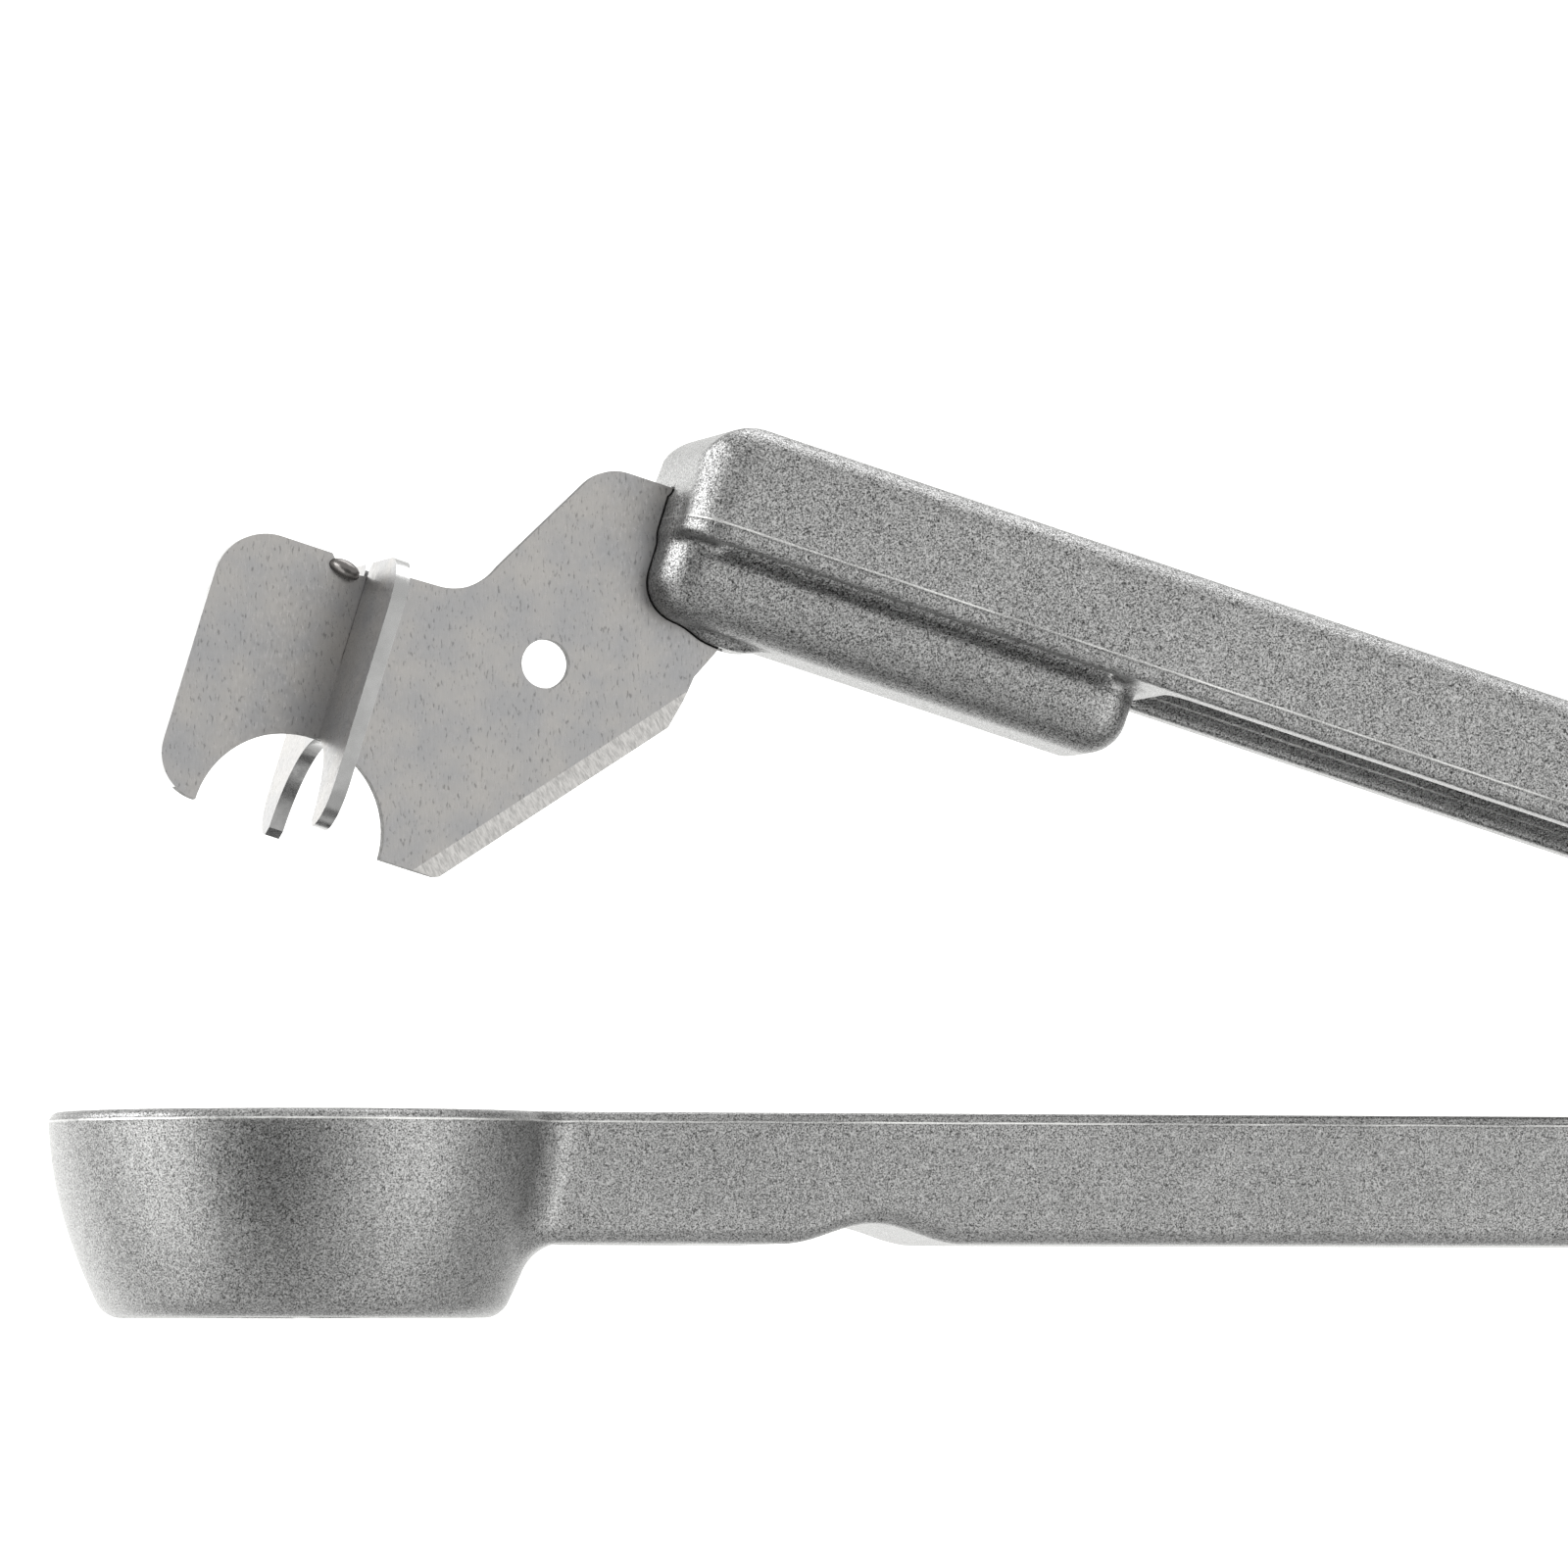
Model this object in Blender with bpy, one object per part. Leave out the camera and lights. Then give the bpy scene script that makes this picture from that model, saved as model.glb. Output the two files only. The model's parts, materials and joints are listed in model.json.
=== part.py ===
"""Plum stoner: two die-cast arms on a riveted spring hinge, a cup and a cross blade.

Every piece is drawn in the hinge frame, in millimetres: the origin is on the hinge axis, X runs along
the arms away from the cup, Y along the hinge pin, and the arms are closed. The lower body stands as
drawn. The upper body turns about the hinge by REST_OPENING.
"""
import math

import bmesh
import bpy

MM = 0.001

# Whole tool
REACH = 162.9            # cup axis to hinge axis
REST_OPENING = 17.2      # degrees between the arms as modelled
CUP_HEIGHT = 14.95       # rim plane down to the underside of the cup
EAR_RADIUS = 9.3         # outer radius of the hinge end
CLOSING_GAP = 0.2        # upper flange above the rim plane when closed
FIT_GAP = 0.3            # clearance between neighbouring pieces

# Cup
CUP_RADIUS = 18.5
CUP_WALL = 2.4
CUP_FLOOR = 2.4
CUP_RIM_ROUND = 0.8
CUP_FOOT_RADIUS = 13.75  # flat underside
OUTLET_SHIFT = -1.2      # the blade tips swing forward, so the outlet sits forward too
OUTLET_RADIUS = 7.2
BLADE_SLOT_HALF = 1.2    # slot of the main blade through the cup floor and the arm
BLADE_SLOT_FRONT = -13.2
BLADE_SLOT_REAR = 28.6
BLADE_SLOT_TOP = -10.5   # its roof ahead of the rear cup wall, inside the bowl
WALL_SLOT_FRONT = 12.0
CROSS_SLOT_HALF = 12.1
CROSS_SLOT_FRONT = -2.6
CROSS_SLOT_REAR = 1.8
ROUND_STEPS = 56         # facets around the cup

# Lower arm
ARM_HEIGHT = 9.55
ARM_TOP_HALF = 9.0       # half width at the rim plane
ARM_DRAFT = 0.9          # narrowing of each side down to the bottom
ARM_WALL = 2.1
ARM_TOP_ROUND = 0.8
ARM_BOTTOM_ROUND = 1.3
PLAN_FILLET = 2.0        # cup side to arm side
UNDER_FILLET = 1.8       # cup side to arm underside
NOTCH_START = 34.4       # scallop in the underside that sits on the rim of a bowl
NOTCH_END = 47.9
NOTCH_DEPTH = 1.5
TROUGH_START = 19.5
TROUGH_END = REACH - 15.6

# Hinge
TONGUE_HALF = 6.6
KNUCKLE_RADIUS = 6.4
SPRING_SLOT_HALF = 3.9
HEEL_ANGLE = -30.2       # rear stop of the upper arm
PIN_RADIUS = 2.0
PIN_HEAD_RADIUS = 3.6
PIN_HEAD_HEIGHT = 1.9
PIN_TAIL_RADIUS = 3.0
PIN_TAIL_HEIGHT = 1.1
WASHER_RADIUS = 4.0
WASHER_THICKNESS = 0.6

# Upper arm
BODY_FRONT = 20.2        # front face, measured from the blade axis
BODY_TOP = EAR_RADIUS    # above the hinge axis
BODY_FLANGE_HALF = 9.7
BODY_TOP_HALF = 8.9
BODY_TOP_ROUND = 2.0
BODY_PLAN_ROUND = 3.2
BODY_NOSE_ROUND = 4.0
PARTING_HEIGHT = 1.5     # widest line of the casting, above the hinge axis
FLANGE_ROUND = 0.55
ROOF = 2.2
CHANNEL_HALF = 7.0
SHELL_END_ANGLE = -3.0   # lower end of the rear shell when closed
BOSS_REAR = 57.4         # rear end of the blade boss
BOSS_BOTTOM = -5.45
BOSS_TOP_HALF = 5.95
BOSS_BOTTOM_HALF = 5.0
BOSS_NOSE_ROUND = 3.0
BOSS_TAIL_ROUND = 3.0
BOSS_PLAN_ROUND = 1.5
BOSS_EDGE_ROUND = 1.8
BOSS_ROOT = 6.6          # the boss reaches this high into the roof
GROOVE_HALF = 7.6
GROOVE_TOP = 1.5
GROOVE_FRONT = BODY_FRONT + 3.0
GROOVE_REAR = BOSS_REAR - 2.5

# Blades
BLADE_HALF_THICKNESS = 0.55
BLADE_AXIS_DROP = 8.86   # rim plane down to the blade axes when closed
BLADE_DEPTH = 20.0       # blade axes down to the tips
BLADE_HALF_WIDTH = 10.75
WING_TOP = 0.3
LOBE_TOP = 12.8
BLADE_TOP_ROUND = 4.0
BLADE_TIP_ROUND = 3.5
CROSS_BLADE_SHIFT = 0.7  # cross blade behind the middle of the stone arch
CROSS_BLADE_HALF = 11.4
STONE_ARCH_HALF = 7.2
STONE_ARCH_RISE = 7.0
LAP_DEPTH = 6.6          # where the two plates meet, below the top of the wings
TANG_END = 31.5
TANG_GAP = 0.15
POCKET_STEP = 27.7       # the pocket's floor rises behind this
POCKET_STEP_HEIGHTS = (2.1, 5.8)
HANGING_HOLE = (14.8, -2.5)
HANGING_HOLE_RADIUS = 1.8
CRIMP = (-1.45, -0.45)   # stub peened over beside the cross blade

# Spring
WIRE_RADIUS = 0.6
COIL_RADIUS = 3.0
COIL_PITCH = 1.35
COIL_TURNS = 3
LEG_LENGTH = 25.0
LOWER_LEG_ANGLE = 8.0
UPPER_LEG_ANGLE = REST_OPENING + 7.0

TOOL_LENGTH = CUP_RADIUS + REACH + EAR_RADIUS
HINGE_X = TOOL_LENGTH / 2 - EAR_RADIUS
HINGE = (HINGE_X * MM, 0.0, CUP_HEIGHT * MM)


def clear_scene():
    for obj in list(bpy.data.objects):
        bpy.data.objects.remove(obj, do_unlink=True)


def metal(name, colour, roughness, metallic):
    material = bpy.data.materials.new(name)
    material.use_nodes = True
    shader = material.node_tree.nodes["Principled BSDF"]
    shader.inputs["Base Color"].default_value = (*colour, 1.0)
    shader.inputs["Roughness"].default_value = roughness
    shader.inputs["Metallic"].default_value = metallic
    return material


def to_object(name, bm, material=None):
    """Turn a bmesh in millimetres into an object whose origin lies on the hinge axis."""
    bmesh.ops.scale(bm, vec=(MM, MM, MM), verts=bm.verts)
    bmesh.ops.recalc_face_normals(bm, faces=bm.faces)
    bmesh.ops.triangulate(bm, faces=bm.faces)
    mesh = bpy.data.meshes.new(name)
    bm.to_mesh(mesh)
    bm.free()
    mesh.shade_smooth()
    mesh.set_sharp_from_angle(angle=math.radians(32))
    obj = bpy.data.objects.new(name, mesh)
    bpy.context.scene.collection.objects.link(obj)
    if material:
        mesh.materials.append(material)
    return obj


def arc(centre, radius, start, end, steps):
    """Points of an arc, in degrees, both ends included."""
    points = []
    for step in range(steps + 1):
        angle = math.radians(start + (end - start) * step / steps)
        points.append((centre[0] + radius * math.cos(angle), centre[1] + radius * math.sin(angle)))
    return points


def prism(name, outline, y_from, y_to, material=None):
    """Side outline in X and Z, extruded along Y."""
    bm = bmesh.new()
    base = bm.faces.new([bm.verts.new((x, y_from, z)) for x, z in outline])
    grown = bmesh.ops.extrude_face_region(bm, geom=[base])
    moved = [item for item in grown["geom"] if isinstance(item, bmesh.types.BMVert)]
    bmesh.ops.translate(bm, verts=moved, vec=(0.0, y_to - y_from, 0.0))
    return to_object(name, bm, material)


def plate(name, outline, x_from, x_to, material=None):
    """Front outline in Y and Z, extruded along X."""
    bm = bmesh.new()
    base = bm.faces.new([bm.verts.new((x_from, y, z)) for y, z in outline])
    grown = bmesh.ops.extrude_face_region(bm, geom=[base])
    moved = [item for item in grown["geom"] if isinstance(item, bmesh.types.BMVert)]
    bmesh.ops.translate(bm, verts=moved, vec=(x_to - x_from, 0.0, 0.0))
    return to_object(name, bm, material)


def box(name, low, high):
    outline = [(low[0], low[2]), (high[0], low[2]), (high[0], high[2]), (low[0], high[2])]
    return prism(name, outline, low[1], high[1])


def loft(name, sections, material=None):
    """Closed rings with equal point counts, skinned one after the other and capped."""
    bm = bmesh.new()
    rings = [[bm.verts.new(point) for point in section] for section in sections]
    for ring, following in zip(rings, rings[1:]):
        for index in range(len(ring)):
            after = (index + 1) % len(ring)
            bm.faces.new((ring[index], ring[after], following[after], following[index]))
    bm.faces.new(rings[0])
    bm.faces.new(rings[-1])
    return to_object(name, bm, material)


def turned(name, profile, centre, axis, steps, material=None):
    """Closed radius and height profile spun about a vertical or a cross axis through centre."""
    bm = bmesh.new()
    if axis == "Z":
        points = [(centre[0] + radius, centre[1], height) for radius, height in profile]
        direction = (0.0, 0.0, 1.0)
    else:
        points = [(centre[0] + radius, height, centre[2]) for radius, height in profile]
        direction = (0.0, 1.0, 0.0)
    verts = [bm.verts.new(point) for point in points]
    edges = [bm.edges.new((verts[i], verts[(i + 1) % len(verts)])) for i in range(len(verts))]
    on_axis = [edge for edge, first, second in zip(edges, profile, profile[1:] + profile[:1])
               if first[0] == 0.0 and second[0] == 0.0]
    for edge in on_axis:
        edges.remove(edge)
        bm.edges.remove(edge)
    bmesh.ops.spin(bm, geom=verts + edges, cent=centre, axis=direction, dvec=(0.0, 0.0, 0.0),
                   angle=math.tau, steps=steps, use_merge=True, use_duplicate=False)
    bmesh.ops.remove_doubles(bm, verts=bm.verts, dist=0.001)
    return to_object(name, bm, material)


def combine(obj, other, operation):
    """Live exact Boolean with a helper that follows the piece and is left out of the model."""
    other.parent = obj
    other.hide_render = True
    other.display_type = "WIRE"
    modifier = obj.modifiers.new(other.name, "BOOLEAN")
    modifier.operation = operation
    modifier.object = other
    modifier.solver = "EXACT"


def mirrored(half):
    """Full closed section from its +Y half, listed from top to bottom."""
    left = [(x, -y, z) for x, y, z in reversed(half) if y > 0.0]
    return half + left


# ---------------------------------------------------------------- lower arm

def cup_radius(depth):
    """Outer radius of the cup below the rim, for its barrel-shaped side."""
    return CUP_RADIUS - 0.0221 * max(depth, 0.0) ** 1.93


def cup_outer_profile():
    side = [(cup_radius(depth), -depth) for depth in (CUP_RIM_ROUND, 3.0, 5.2, 7.4, 9.5, 11.0, 12.5, 13.8)]
    rim = arc((CUP_RADIUS - CUP_RIM_ROUND, -CUP_RIM_ROUND), CUP_RIM_ROUND, 90, 30, 2)
    foot = [(CUP_FOOT_RADIUS + 0.75, 0.35 - CUP_HEIGHT), (CUP_FOOT_RADIUS, -CUP_HEIGHT)]
    return [(0.0, 0.0)] + rim + side + foot + [(0.0, -CUP_HEIGHT)]


def cup_inner_profile():
    floor = -(CUP_HEIGHT - CUP_FLOOR)
    mouth = [(0.0, 3.0), (CUP_RADIUS - CUP_WALL + 0.6, 3.0), (CUP_RADIUS - CUP_WALL + 0.6, 0.0)]
    side = [(cup_radius(depth) - CUP_WALL, -depth) for depth in (0.6, 5.5, 8.1)]
    bottom = [(cup_radius(11.0) - CUP_WALL - 0.5, -11.0), (cup_radius(12.5) - CUP_WALL - 1.4, floor)]
    return mouth + side + bottom + [(0.0, floor)]


def arm_half_width(distance, depth):
    """Half width of the lower arm, flared where its side runs into the cup."""
    straight = ARM_TOP_HALF - ARM_DRAFT * depth / ARM_HEIGHT
    cup = cup_radius(depth)
    centre = math.sqrt((cup + PLAN_FILLET) ** 2 - (straight + PLAN_FILLET) ** 2)
    start = centre * cup / (cup + PLAN_FILLET)
    along = min(max(distance, start), centre)
    return straight + PLAN_FILLET - math.sqrt(PLAN_FILLET ** 2 - (centre - along) ** 2)


def arm_drop(distance, side):
    """How far the underside reaches below the plain bottom: fillet at the cup, then the notch."""
    gap = math.hypot(distance, side) - cup_radius(ARM_HEIGHT)
    if gap < UNDER_FILLET:
        reach = UNDER_FILLET - max(gap, 0.0)
        return UNDER_FILLET - math.sqrt(UNDER_FILLET ** 2 - reach ** 2)
    if NOTCH_START < distance < NOTCH_END:
        phase = (distance - NOTCH_START) / (NOTCH_END - NOTCH_START)
        return -NOTCH_DEPTH * (0.5 - 0.5 * math.cos(math.tau * phase))
    return 0.0


def arm_section(distance):
    """Section of the lower arm at a distance from the cup axis."""
    half = [(arm_half_width(distance, 0.0) - ARM_TOP_ROUND, 0.0),
            (arm_half_width(distance, 0.0) - 0.3 * ARM_TOP_ROUND, -0.3 * ARM_TOP_ROUND),
            (arm_half_width(distance, ARM_TOP_ROUND), -ARM_TOP_ROUND),
            (arm_half_width(distance, 4.8), -4.8)]
    corner = ARM_HEIGHT - ARM_BOTTOM_ROUND
    centre = (arm_half_width(distance, corner) - ARM_BOTTOM_ROUND, -corner)
    half += [(y, z - arm_drop(distance, y)) for y, z in arc(centre, ARM_BOTTOM_ROUND, 0, -90, 3)]
    half += [(y, -ARM_HEIGHT - arm_drop(distance, y)) for y in (4.0, 0.0)]
    x = distance - REACH
    top = [(x, 0.0, 0.0)]
    return mirrored(top + [(x, y, z) for y, z in half])


def lower_arm_stations():
    fillet = [13.0 + 0.6 * step for step in range(12)]
    notch = [NOTCH_START + (NOTCH_END - NOTCH_START) * step / 12 for step in range(13)]
    return fillet + [26.0] + notch + [REACH - EAR_RADIUS - 0.5]


def tongue_outline():
    """Side of the knuckle with the heel that stops the upper arm."""
    heel = arc((0.0, 0.0), ARM_HEIGHT, -90, HEEL_ANGLE, 8)
    knuckle = arc((0.0, 0.0), KNUCKLE_RADIUS, HEEL_ANGLE, 180, 18)
    return [(TROUGH_END + 2.0 - REACH, -ARM_HEIGHT)] + heel + knuckle + [(TROUGH_END + 2.0 - REACH, 0.0)]


def trough_section(distance):
    """Open channel of the lower arm, narrower towards its floor."""
    floor = ARM_WALL - ARM_HEIGHT - 0.1
    x = distance - REACH
    top = ARM_TOP_HALF - ARM_WALL
    bottom = top - ARM_DRAFT
    half = [(x, 0.0, 1.0), (x, top, 1.0), (x, bottom, floor + 0.7), (x, bottom - 0.7, floor), (x, 0.0, floor)]
    return mirrored(half)


def blade_slot_outline():
    """Way of the main blade through the cup floor, the rear cup wall and the arm's floor."""
    floor_cut = -(CUP_HEIGHT + 3.0)
    ahead = BLADE_SLOT_FRONT - REACH
    behind = BLADE_SLOT_REAR - REACH
    wall = WALL_SLOT_FRONT - REACH
    return [(ahead, floor_cut), (behind, floor_cut), (behind, 4.0), (wall, 4.0), (wall, BLADE_SLOT_TOP),
            (ahead, BLADE_SLOT_TOP)]


def make_lower_arm(material):
    cup_x = -REACH
    arm = turned("lower_arm", cup_outer_profile(), (cup_x, 0.0, 0.0), "Z", ROUND_STEPS, material)
    beam = loft("lower_beam_body", [arm_section(distance) for distance in lower_arm_stations()])
    combine(arm, beam, "UNION")
    combine(arm, prism("knuckle_body", tongue_outline(), -TONGUE_HALF, TONGUE_HALF), "UNION")
    bowl = turned("cup_bowl_cut", cup_inner_profile(), (cup_x, 0.0, 0.0), "Z", ROUND_STEPS)
    combine(arm, bowl, "DIFFERENCE")
    stations = [TROUGH_START, TROUGH_END]
    combine(arm, loft("trough_cut", [trough_section(distance) for distance in stations]), "DIFFERENCE")

    floor_cut = -(CUP_HEIGHT + 3.0)
    outlet = [(0.0, -5.0), (OUTLET_RADIUS, -5.0), (OUTLET_RADIUS, floor_cut), (0.0, floor_cut)]
    centre = (cup_x + OUTLET_SHIFT, 0.0, 0.0)
    combine(arm, turned("outlet_cut", outlet, centre, "Z", 32), "DIFFERENCE")
    blade_slot = prism("blade_slot_cut", blade_slot_outline(), -BLADE_SLOT_HALF, BLADE_SLOT_HALF)
    combine(arm, blade_slot, "DIFFERENCE")
    cross = box("cross_slot_cut", (cup_x + CROSS_SLOT_FRONT, -CROSS_SLOT_HALF, floor_cut),
                (cup_x + CROSS_SLOT_REAR, CROSS_SLOT_HALF, BLADE_SLOT_TOP - 0.3))
    combine(arm, cross, "DIFFERENCE")

    spring_floor = ARM_WALL - ARM_HEIGHT
    slot = box("spring_slot_cut", (TROUGH_END - REACH - 1.0, -SPRING_SLOT_HALF, spring_floor),
               (ARM_HEIGHT + 2.0, SPRING_SLOT_HALF, KNUCKLE_RADIUS + 2.0))
    combine(arm, slot, "DIFFERENCE")
    combine(arm, pin_hole("knuckle_pin_cut"), "DIFFERENCE")
    return arm


# ---------------------------------------------------------------- upper arm

def inset(distance, radius):
    """How far a quarter-round corner stands back at a distance from the front face."""
    reach = radius - min(max(distance, 0.0), radius)
    return radius - math.sqrt(max(radius ** 2 - reach ** 2, 0.0))


def hinge_floor(x):
    """Lower edge of the casting at the hinge, round about the pin."""
    if x <= -EAR_RADIUS:
        return CLOSING_GAP
    return -math.sqrt(max(EAR_RADIUS ** 2 - x ** 2, 0.0))


def hinge_top(x):
    if x <= 0.0:
        return BODY_TOP
    return math.sqrt(max(EAR_RADIUS ** 2 - x ** 2, 0.0))


def body_section(x):
    """Section of the upper arm at a distance from the hinge axis."""
    ahead = x + REACH - BODY_FRONT
    narrow = inset(ahead, BODY_PLAN_ROUND)
    top = hinge_top(x) - inset(ahead, BODY_NOSE_ROUND)
    floor = hinge_floor(x)
    parting = min(PARTING_HEIGHT, 0.5 * (top + floor))
    top_half = BODY_TOP_HALF - narrow
    flange_half = BODY_FLANGE_HALF - narrow
    crown = min(BODY_TOP_ROUND, 0.4 * (top - parting))
    foot = min(FLANGE_ROUND, 0.4 * (parting - floor))
    half = [(top_half - crown, top), (top_half - 0.5 * crown, top - 0.134 * crown),
            (top_half - 0.134 * crown, top - 0.5 * crown), (top_half, top - crown),
            (flange_half, parting), (flange_half, floor + foot),
            (flange_half - 0.3 * foot, floor + 0.3 * foot), (flange_half - foot, floor)]
    return mirrored([(x, 0.0, top)] + [(x, y, z) for y, z in half] + [(x, 0.0, floor)])


def upper_arm_stations():
    front = BODY_FRONT - REACH
    nose = [front + BODY_NOSE_ROUND * (1.0 - math.cos(math.radians(15 * step))) for step in range(7)]
    ear = [EAR_RADIUS * math.sin(math.radians(angle)) for angle in range(-90, 90, 10)]
    return nose + ear + [EAR_RADIUS * 0.998]


def channel_outline():
    """Inside of the channel, running round the knuckle to the end of the rear shell."""
    roof = BODY_TOP - ROOF
    front = BOSS_REAR + 1.8 - REACH
    shell = arc((0.0, 0.0), roof, 90, SHELL_END_ANGLE, 12)
    leave = [(14.0 * math.cos(math.radians(SHELL_END_ANGLE)), 14.0 * math.sin(math.radians(SHELL_END_ANGLE)))]
    return [(front, -12.0), (front, roof - 1.2), (front + 1.2, roof)] + shell + leave + [(14.0, -12.0)]


def boss_section(x):
    """Blade boss under the roof, its nose and tail rounded in elevation."""
    bottom = BOSS_BOTTOM
    bottom += inset(x + REACH - BODY_FRONT, BOSS_NOSE_ROUND)
    bottom += inset(BOSS_REAR - REACH - x, BOSS_TAIL_ROUND)
    narrow = inset(x + REACH - BODY_FRONT, BOSS_PLAN_ROUND) + inset(BOSS_REAR - REACH - x, BOSS_PLAN_ROUND)
    top_half = BOSS_TOP_HALF - narrow
    bottom_half = BOSS_BOTTOM_HALF - narrow
    edge = BOSS_EDGE_ROUND
    half = [(x, 0.0, BOSS_ROOT), (x, top_half, BOSS_ROOT), (x, top_half, 1.0),
            (x, bottom_half, bottom + edge), (x, bottom_half - 0.29 * edge, bottom + 0.29 * edge), (x, bottom_half - edge, bottom),
            (x, 0.0, bottom)]
    return mirrored(half)


def boss_stations():
    front = BODY_FRONT - REACH
    rear = BOSS_REAR - REACH
    nose = [front + BOSS_NOSE_ROUND * (1.0 - math.cos(math.radians(22.5 * step))) for step in range(5)]
    tail = [rear - BOSS_TAIL_ROUND * (1.0 - math.cos(math.radians(22.5 * step))) for step in range(4, -1, -1)]
    return nose + tail


def tang_pocket_outline():
    """Outline of the pocket that holds the blade's tang, open at the front and below."""
    top = LOBE_TOP - BLADE_AXIS_DROP + TANG_GAP
    end = TANG_END - REACH + TANG_GAP
    front = BODY_FRONT - REACH - 2.0
    step = POCKET_STEP - REACH
    low, high = POCKET_STEP_HEIGHTS
    return [(front, top), (front, -12.0), (step, -12.0), (step, low - BLADE_AXIS_DROP),
            (end, high - BLADE_AXIS_DROP), (end, top)]


def make_upper_arm(material):
    arm = loft("upper_arm", [body_section(x) for x in upper_arm_stations()], material)
    channel = prism("channel_cut", channel_outline(), -CHANNEL_HALF, CHANNEL_HALF)
    combine(arm, channel, "DIFFERENCE")
    combine(arm, loft("boss_body", [boss_section(x) for x in boss_stations()]), "UNION")
    for side, label in ((-1.0, "near"), (1.0, "far")):
        edges = sorted((side * (BOSS_TOP_HALF - 0.05), side * GROOVE_HALF))
        groove = box(label + "_groove_cut", (GROOVE_FRONT - REACH, edges[0], -2.0),
                     (GROOVE_REAR - REACH, edges[1], GROOVE_TOP))
        combine(arm, groove, "DIFFERENCE")
    half = BLADE_HALF_THICKNESS + TANG_GAP
    combine(arm, prism("tang_pocket_cut", tang_pocket_outline(), -half, half), "DIFFERENCE")
    combine(arm, pin_hole("ear_pin_cut"), "DIFFERENCE")
    return arm


# ---------------------------------------------------------------- blades

def blade_points(points):
    """From the blade's own axes to the hinge frame."""
    return [(along - REACH, height - BLADE_AXIS_DROP) for along, height in points]


def stone_arch(steps):
    """Hollow lower edge that straddles the stone, from +half to -half."""
    return [(STONE_ARCH_HALF * math.cos(math.pi * step / steps),
             STONE_ARCH_RISE * math.sin(math.pi * step / steps) - BLADE_DEPTH) for step in range(steps + 1)]


def lap_slot(arch):
    """Splits the arch and lets in the slot that takes the cross blade."""
    behind = CROSS_BLADE_SHIFT + BLADE_HALF_THICKNESS + FIT_GAP
    ahead = CROSS_BLADE_SHIFT - BLADE_HALF_THICKNESS - FIT_GAP
    right = [point for point in arch if point[0] > behind + 0.3]
    left = [point for point in arch if point[0] < ahead - 0.3]
    crown = STONE_ARCH_RISE - BLADE_DEPTH
    slot = [(behind, crown), (behind, -LAP_DEPTH), (ahead, -LAP_DEPTH), (ahead, crown)]
    return right + slot + left


def main_blade_outline():
    """Side view: tang, lobe, saddle, wings with the stone arch, and the long cutting edge."""
    lobe = [(TANG_END, LOBE_TOP), (16.6, LOBE_TOP)] + arc((16.6, LOBE_TOP - 3.3), 3.3, 105, 152, 4)
    saddle = arc((5.3, 4.75), 4.3, -20, -88, 5)
    notch = [(0.9, 0.45), (0.1, -0.5), (-1.2, -0.7), (-2.0, WING_TOP)]
    corner = (-BLADE_HALF_WIDTH + BLADE_TOP_ROUND, WING_TOP - BLADE_TOP_ROUND)
    shoulder = arc(corner, BLADE_TOP_ROUND, 90, 180, 6)
    tip = (-BLADE_HALF_WIDTH + BLADE_TIP_ROUND, -BLADE_DEPTH + BLADE_TIP_ROUND)
    front_tip = arc(tip, BLADE_TIP_ROUND, 180, 270, 5)
    arch = [(x, z) for x, z in reversed(lap_slot(stone_arch(16)))]
    edge = [(11.4, -BLADE_DEPTH), (11.9, -19.8), (25.05, -4.1), (25.5, -2.0), (25.75, 0.0)]
    heel = [(26.7, 2.06), (27.35, 3.6), (TANG_END, 6.1)]
    return blade_points(lobe + saddle + notch + shoulder + front_tip + arch + edge + heel)


def make_main_blade(material):
    half = BLADE_HALF_THICKNESS
    blade = prism("main_blade", main_blade_outline(), -half, half, material)
    hole_x, hole_z = blade_points([HANGING_HOLE])[0]
    profile = [(0.0, -3.0), (0.0, 3.0), (HANGING_HOLE_RADIUS, 3.0), (HANGING_HOLE_RADIUS, -3.0)]
    combine(blade, turned("hanging_hole_cut", profile, (hole_x, 0.0, hole_z), "Y", 28), "DIFFERENCE")
    nub_x, nub_z = blade_points([CRIMP])[0]
    nub = [(0.0, -1.65), (0.55, -1.55), (0.8, -1.15), (0.85, 0.0), (0.0, 0.0)]
    combine(blade, turned("crimp_body", nub, (nub_x, 0.0, nub_z), "Y", 12), "UNION")
    return blade


def cross_blade_outline():
    """Front view: two wings joined below the slot that straddles the main blade."""
    top = 0.5
    corner_y = CROSS_BLADE_HALF - BLADE_TOP_ROUND
    right_top = arc((corner_y, top - BLADE_TOP_ROUND), BLADE_TOP_ROUND, 90, 0, 6)
    tip_y = CROSS_BLADE_HALF - BLADE_TIP_ROUND
    right_tip = arc((tip_y, -BLADE_DEPTH + BLADE_TIP_ROUND), BLADE_TIP_ROUND, 0, -90, 5)
    slot = BLADE_HALF_THICKNESS + FIT_GAP
    right = [(slot, -LAP_DEPTH - 2 * FIT_GAP), (slot, top - 0.5), (slot + 0.5, top)] + right_top + right_tip
    arch = stone_arch(16)
    left = [(-y, z) for y, z in reversed(right)]
    return [(y, z - BLADE_AXIS_DROP) for y, z in right + arch[1:-1] + left]


def make_cross_blade(material):
    middle = CROSS_BLADE_SHIFT - REACH
    half = BLADE_HALF_THICKNESS
    return plate("cross_blade", cross_blade_outline(), middle - half, middle + half, material)


# ---------------------------------------------------------------- hinge hardware

def pin_hole(name):
    reach = BODY_FLANGE_HALF + 3.0
    radius = PIN_RADIUS + FIT_GAP
    profile = [(0.0, -reach), (0.0, reach), (radius, reach), (radius, -reach)]
    return turned(name, profile, (0.0, 0.0, 0.0), "Y", 24)


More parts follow.
